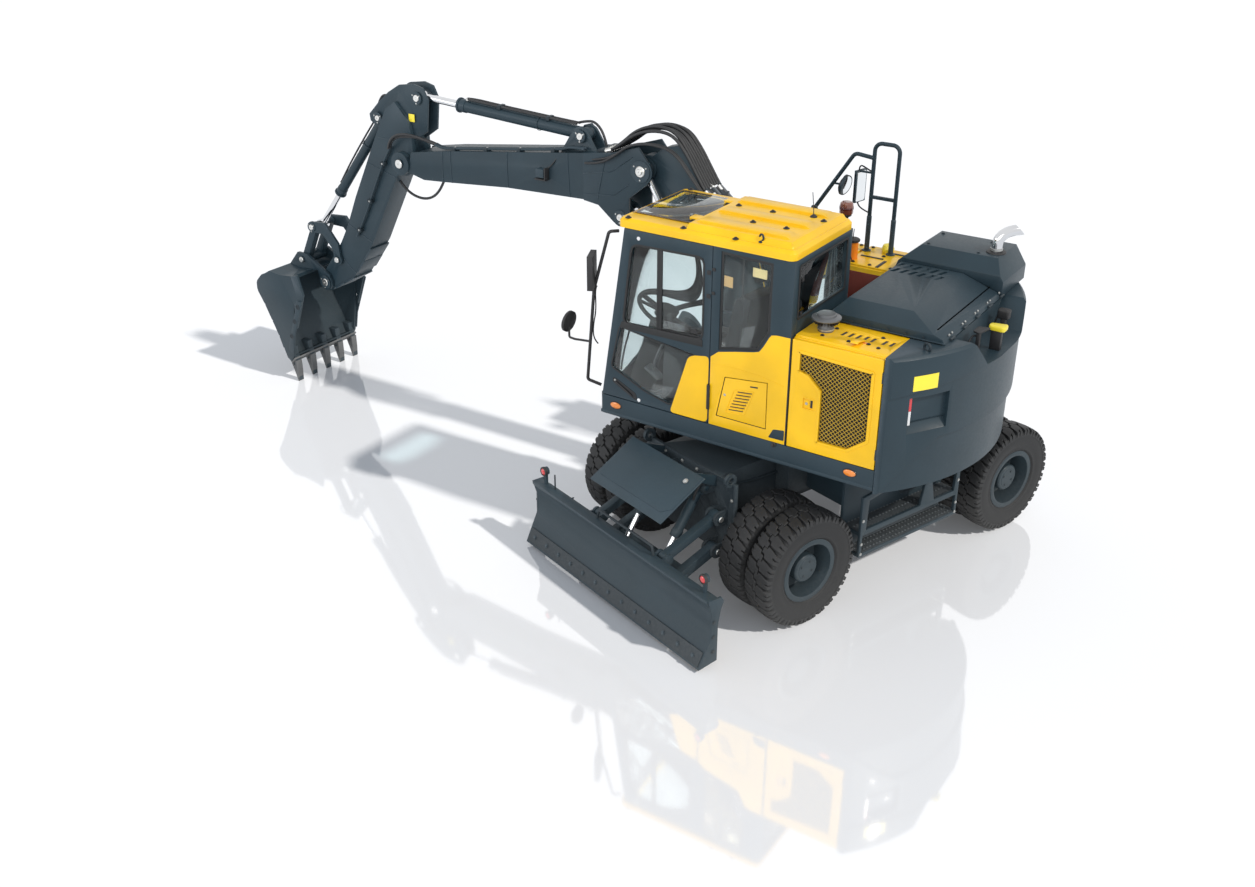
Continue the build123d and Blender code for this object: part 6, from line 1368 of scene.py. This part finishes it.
# The bucket and its linkage: rolled shell, side cutters bolted on, wear strips welded across the
# heel, and teeth made as an adapter with a forged tip over it.
edged("bucket", slate, 0.005, angle=30)
edged("arm_side_links", slate)
edged("bucket_link", slate)
worn_steel = paint("worn_steel", (0.10, 0.105, 0.11), (0.45, 0.45, 0.45), gloss=0.42, rub=1.2, dust=0.4,
                   metallic=0.5, coat=0.0)
for k in range(5):
    y = MID + (k - 2) * 0.226
    plate("tooth_tip_%d" % k, ((6.548, 0.262), (6.488, 0.120), (6.447, 0.000), (6.437, 0.000),
                               (6.430, 0.120), (6.432, 0.262)), 1, y - 0.040, y + 0.040, worn_steel,
          "bucket_body", 0.006, cutters=[prism("slot", ((6.47, 0.20), (6.50, 0.20), (6.49, 0.235),
                                                        (6.47, 0.235)), 1, y - 0.05, y + 0.05)])
    plate("tooth_adapter_%d" % k, ((6.600, 0.430), (6.575, 0.330), (6.530, 0.255), (6.440, 0.255),
                                   (6.465, 0.330), (6.470, 0.430)), 1, y - 0.036, y + 0.036, slate,
          "bucket_body", 0.008)
for side in (-1, 1):
    for k, (x, z) in enumerate(((6.265, 0.985), (6.345, 0.790), (6.425, 0.590))):
        turned("cutter_hole_%d" % k, [(0.0, 0.001), (0.020, 0.001), (0.024, 0.004), (0.030, 0.004),
                                      (0.030, 0.0)], (x, MID + side * 0.526, z), (0, side, 0), dark_steel,
               "bucket_body", 24)
bends = ((6.700, 1.335), (6.829, 1.261), (6.930, 1.160), (6.935, 1.060), (6.837, 0.900), (6.745, 0.715),
         (6.656, 0.537), (6.606, 0.395))
for k in range(1, 7):
    (ax, az), (bx, bz) = bends[k], bends[k + 1]
    gap_x, gap_z = (bx - ax) * 0.04, (bz - az) * 0.04
    for side in (-1, 1):
        plate("heel_strip_%d" % k, strip((ax + gap_x, az + gap_z), (bx - gap_x, bz - gap_z), 0.010), 1,
              *sorted((MID + side * 0.418, MID + side * 0.508)), slate, "bucket_body", 0.002)
plate("bucket_lip", ((6.452, 0.30), (6.515, 0.235), (6.500, 0.225), (6.440, 0.285)), 1, MID - 0.508,
      MID + 0.508, worn_steel, "bucket_body", 0.004)

# The cylinders: steel tubes in slate with a wider gland head, ground chrome rods, cast eyes on
# pins, and hoses or pipes that feed both ends.
for node in ("lift_barrels", "adjust_barrel", "arm_barrel", "bucket_barrel"):
    edged(node, slate, 0.003)
for node in ("lift_rods", "adjust_rod", "arm_rod", "bucket_rod", "blade_rods"):
    edged(node, chrome, 0.003)


def along(line, y, reach, out=0.0):
    """A point a distance along a cylinder from its foot, and a distance out to one side of it."""
    foot, eye = line
    dx, dz = eye[0] - foot[0], eye[1] - foot[1]
    size = hypot(dx, dz)
    return (foot[0] + dx / size * reach - dz / size * out, y, foot[1] + dz / size * reach + dx / size * out)


def gland(name, line, y, radius, reach, body):
    """The bolted gland ring on a cylinder's head, with its bright wiper and its port."""
    foot, eye = line
    dx, dz = eye[0] - foot[0], eye[1] - foot[1]
    turned(name + "_ring", [(radius * 0.70, 0.0), (radius + 0.008, 0.0), (radius + 0.010, 0.004),
                            (radius + 0.010, 0.018), (radius + 0.006, 0.022), (radius * 0.70, 0.022)],
           along(line, y, reach - 0.020), (dx, 0, dz), slate, body, 36)
    turned(name + "_wiper", [(radius * 0.70, 0.0), (radius * 0.92, 0.0), (radius * 0.88, 0.010),
                             (radius * 0.70, 0.010)], along(line, y, reach), (dx, 0, dz), bright, body, 36)
    turned(name + "_band", [(radius - 0.002, 0.0), (radius + 0.003, 0.001), (radius + 0.003, 0.006),
                            (radius - 0.002, 0.007)], along(line, y, reach * 0.35), (dx, 0, dz), slate,
           body, 36)
    x, _, z = along(line, y, reach - 0.10, radius - 0.004)
    turned(name + "_port", [(0.0, 0.0), (0.018, 0.0), (0.018, 0.022), (0.013, 0.026), (0.0, 0.026)],
           (x, y, z), (-dz, 0, dx), bright, body, 20)


# each cylinder's foot and rod eye, seen from the side
ARM_LINE, BUCKET_LINE = ((2.520, 3.375), (4.573, 3.486)), ((5.143, 3.213), (6.263, 1.849))
LIFT_LINE, ADJUST_LINE = ((0.750, 1.450), (1.773, 3.171)), ((0.700, 1.830), (2.000, 2.700))
gland("arm_cylinder", ARM_LINE, MID, 0.066, 1.570, "arm_barrel_body")
gland("bucket_cylinder", BUCKET_LINE, MID, 0.058, 1.240, "bucket_barrel_body")
gland("adjust_cylinder", ADJUST_LINE, MID, 0.066, 1.080, "adjust_barrel_body")
for side in (-1, 1):
    gland("lift_cylinder", LIFT_LINE, MID + side * 0.127, 0.042, 1.560, "lift_barrel_pair")
for k, out in enumerate((-0.026, 0.026)):
    y = MID + out
    tube("arm_cylinder_hose_%d" % k, [along(ARM_LINE, y, reach, rise) for reach,
                                      rise in ((0.10, 0.085), (0.30, 0.082), (0.75, 0.080),
                                               (1.15 + 0.2 * k, 0.080), (1.38 + 0.06 * k,
                                                   0.084))] + [along(ARM_LINE, MID, 1.46, 0.082)], 0.0115,
         hose, "arm_barrel_body")
for reach in (0.42, 1.02):
    plate("arm_cylinder_clip", [along(ARM_LINE, 0, far, rise)[::2] for far,
                                rise in ((reach, 0.055), (reach + 0.04, 0.055), (reach + 0.04, 0.096),
                                         (reach, 0.096))], 1, MID - 0.044, MID + 0.044, dark_steel,
          "arm_barrel_body", 0.003)
tube("arm_cylinder_feed", [(2.30, MID - 0.02, 3.275), (2.34, MID - 0.03, 3.40), (2.44, MID - 0.03, 3.50),
                           (2.55, MID - 0.028, 3.49), along(ARM_LINE, MID - 0.026, 0.11, 0.087)], 0.0125,
     hose, None, between=("upper_boom_body", "arm_barrel_body"))
for k, side in enumerate((-1, 1)):
    y = MID + side * 0.030
    tube("bucket_cylinder_pipe_%d" % k, [along(BUCKET_LINE, y, reach, rise) for reach,
                                         rise in ((0.07, 0.060), (0.20, 0.066),
                                                  (0.80 if k else 0.45, 0.064))] + [along(BUCKET_LINE, MID,
                                                      1.12 if k else 0.50, 0.060)], 0.010, hose,
         "bucket_barrel_body")
for side in (-1, 1):
    y = MID + side * 0.127
    tube("lift_pipe", [along(LIFT_LINE, y, reach, rise) for reach,
                       rise in ((0.16, 0.045), (0.24, 0.062), (1.30, 0.062), (1.45, 0.050))], 0.009, slate,
         "lift_barrel_pair")
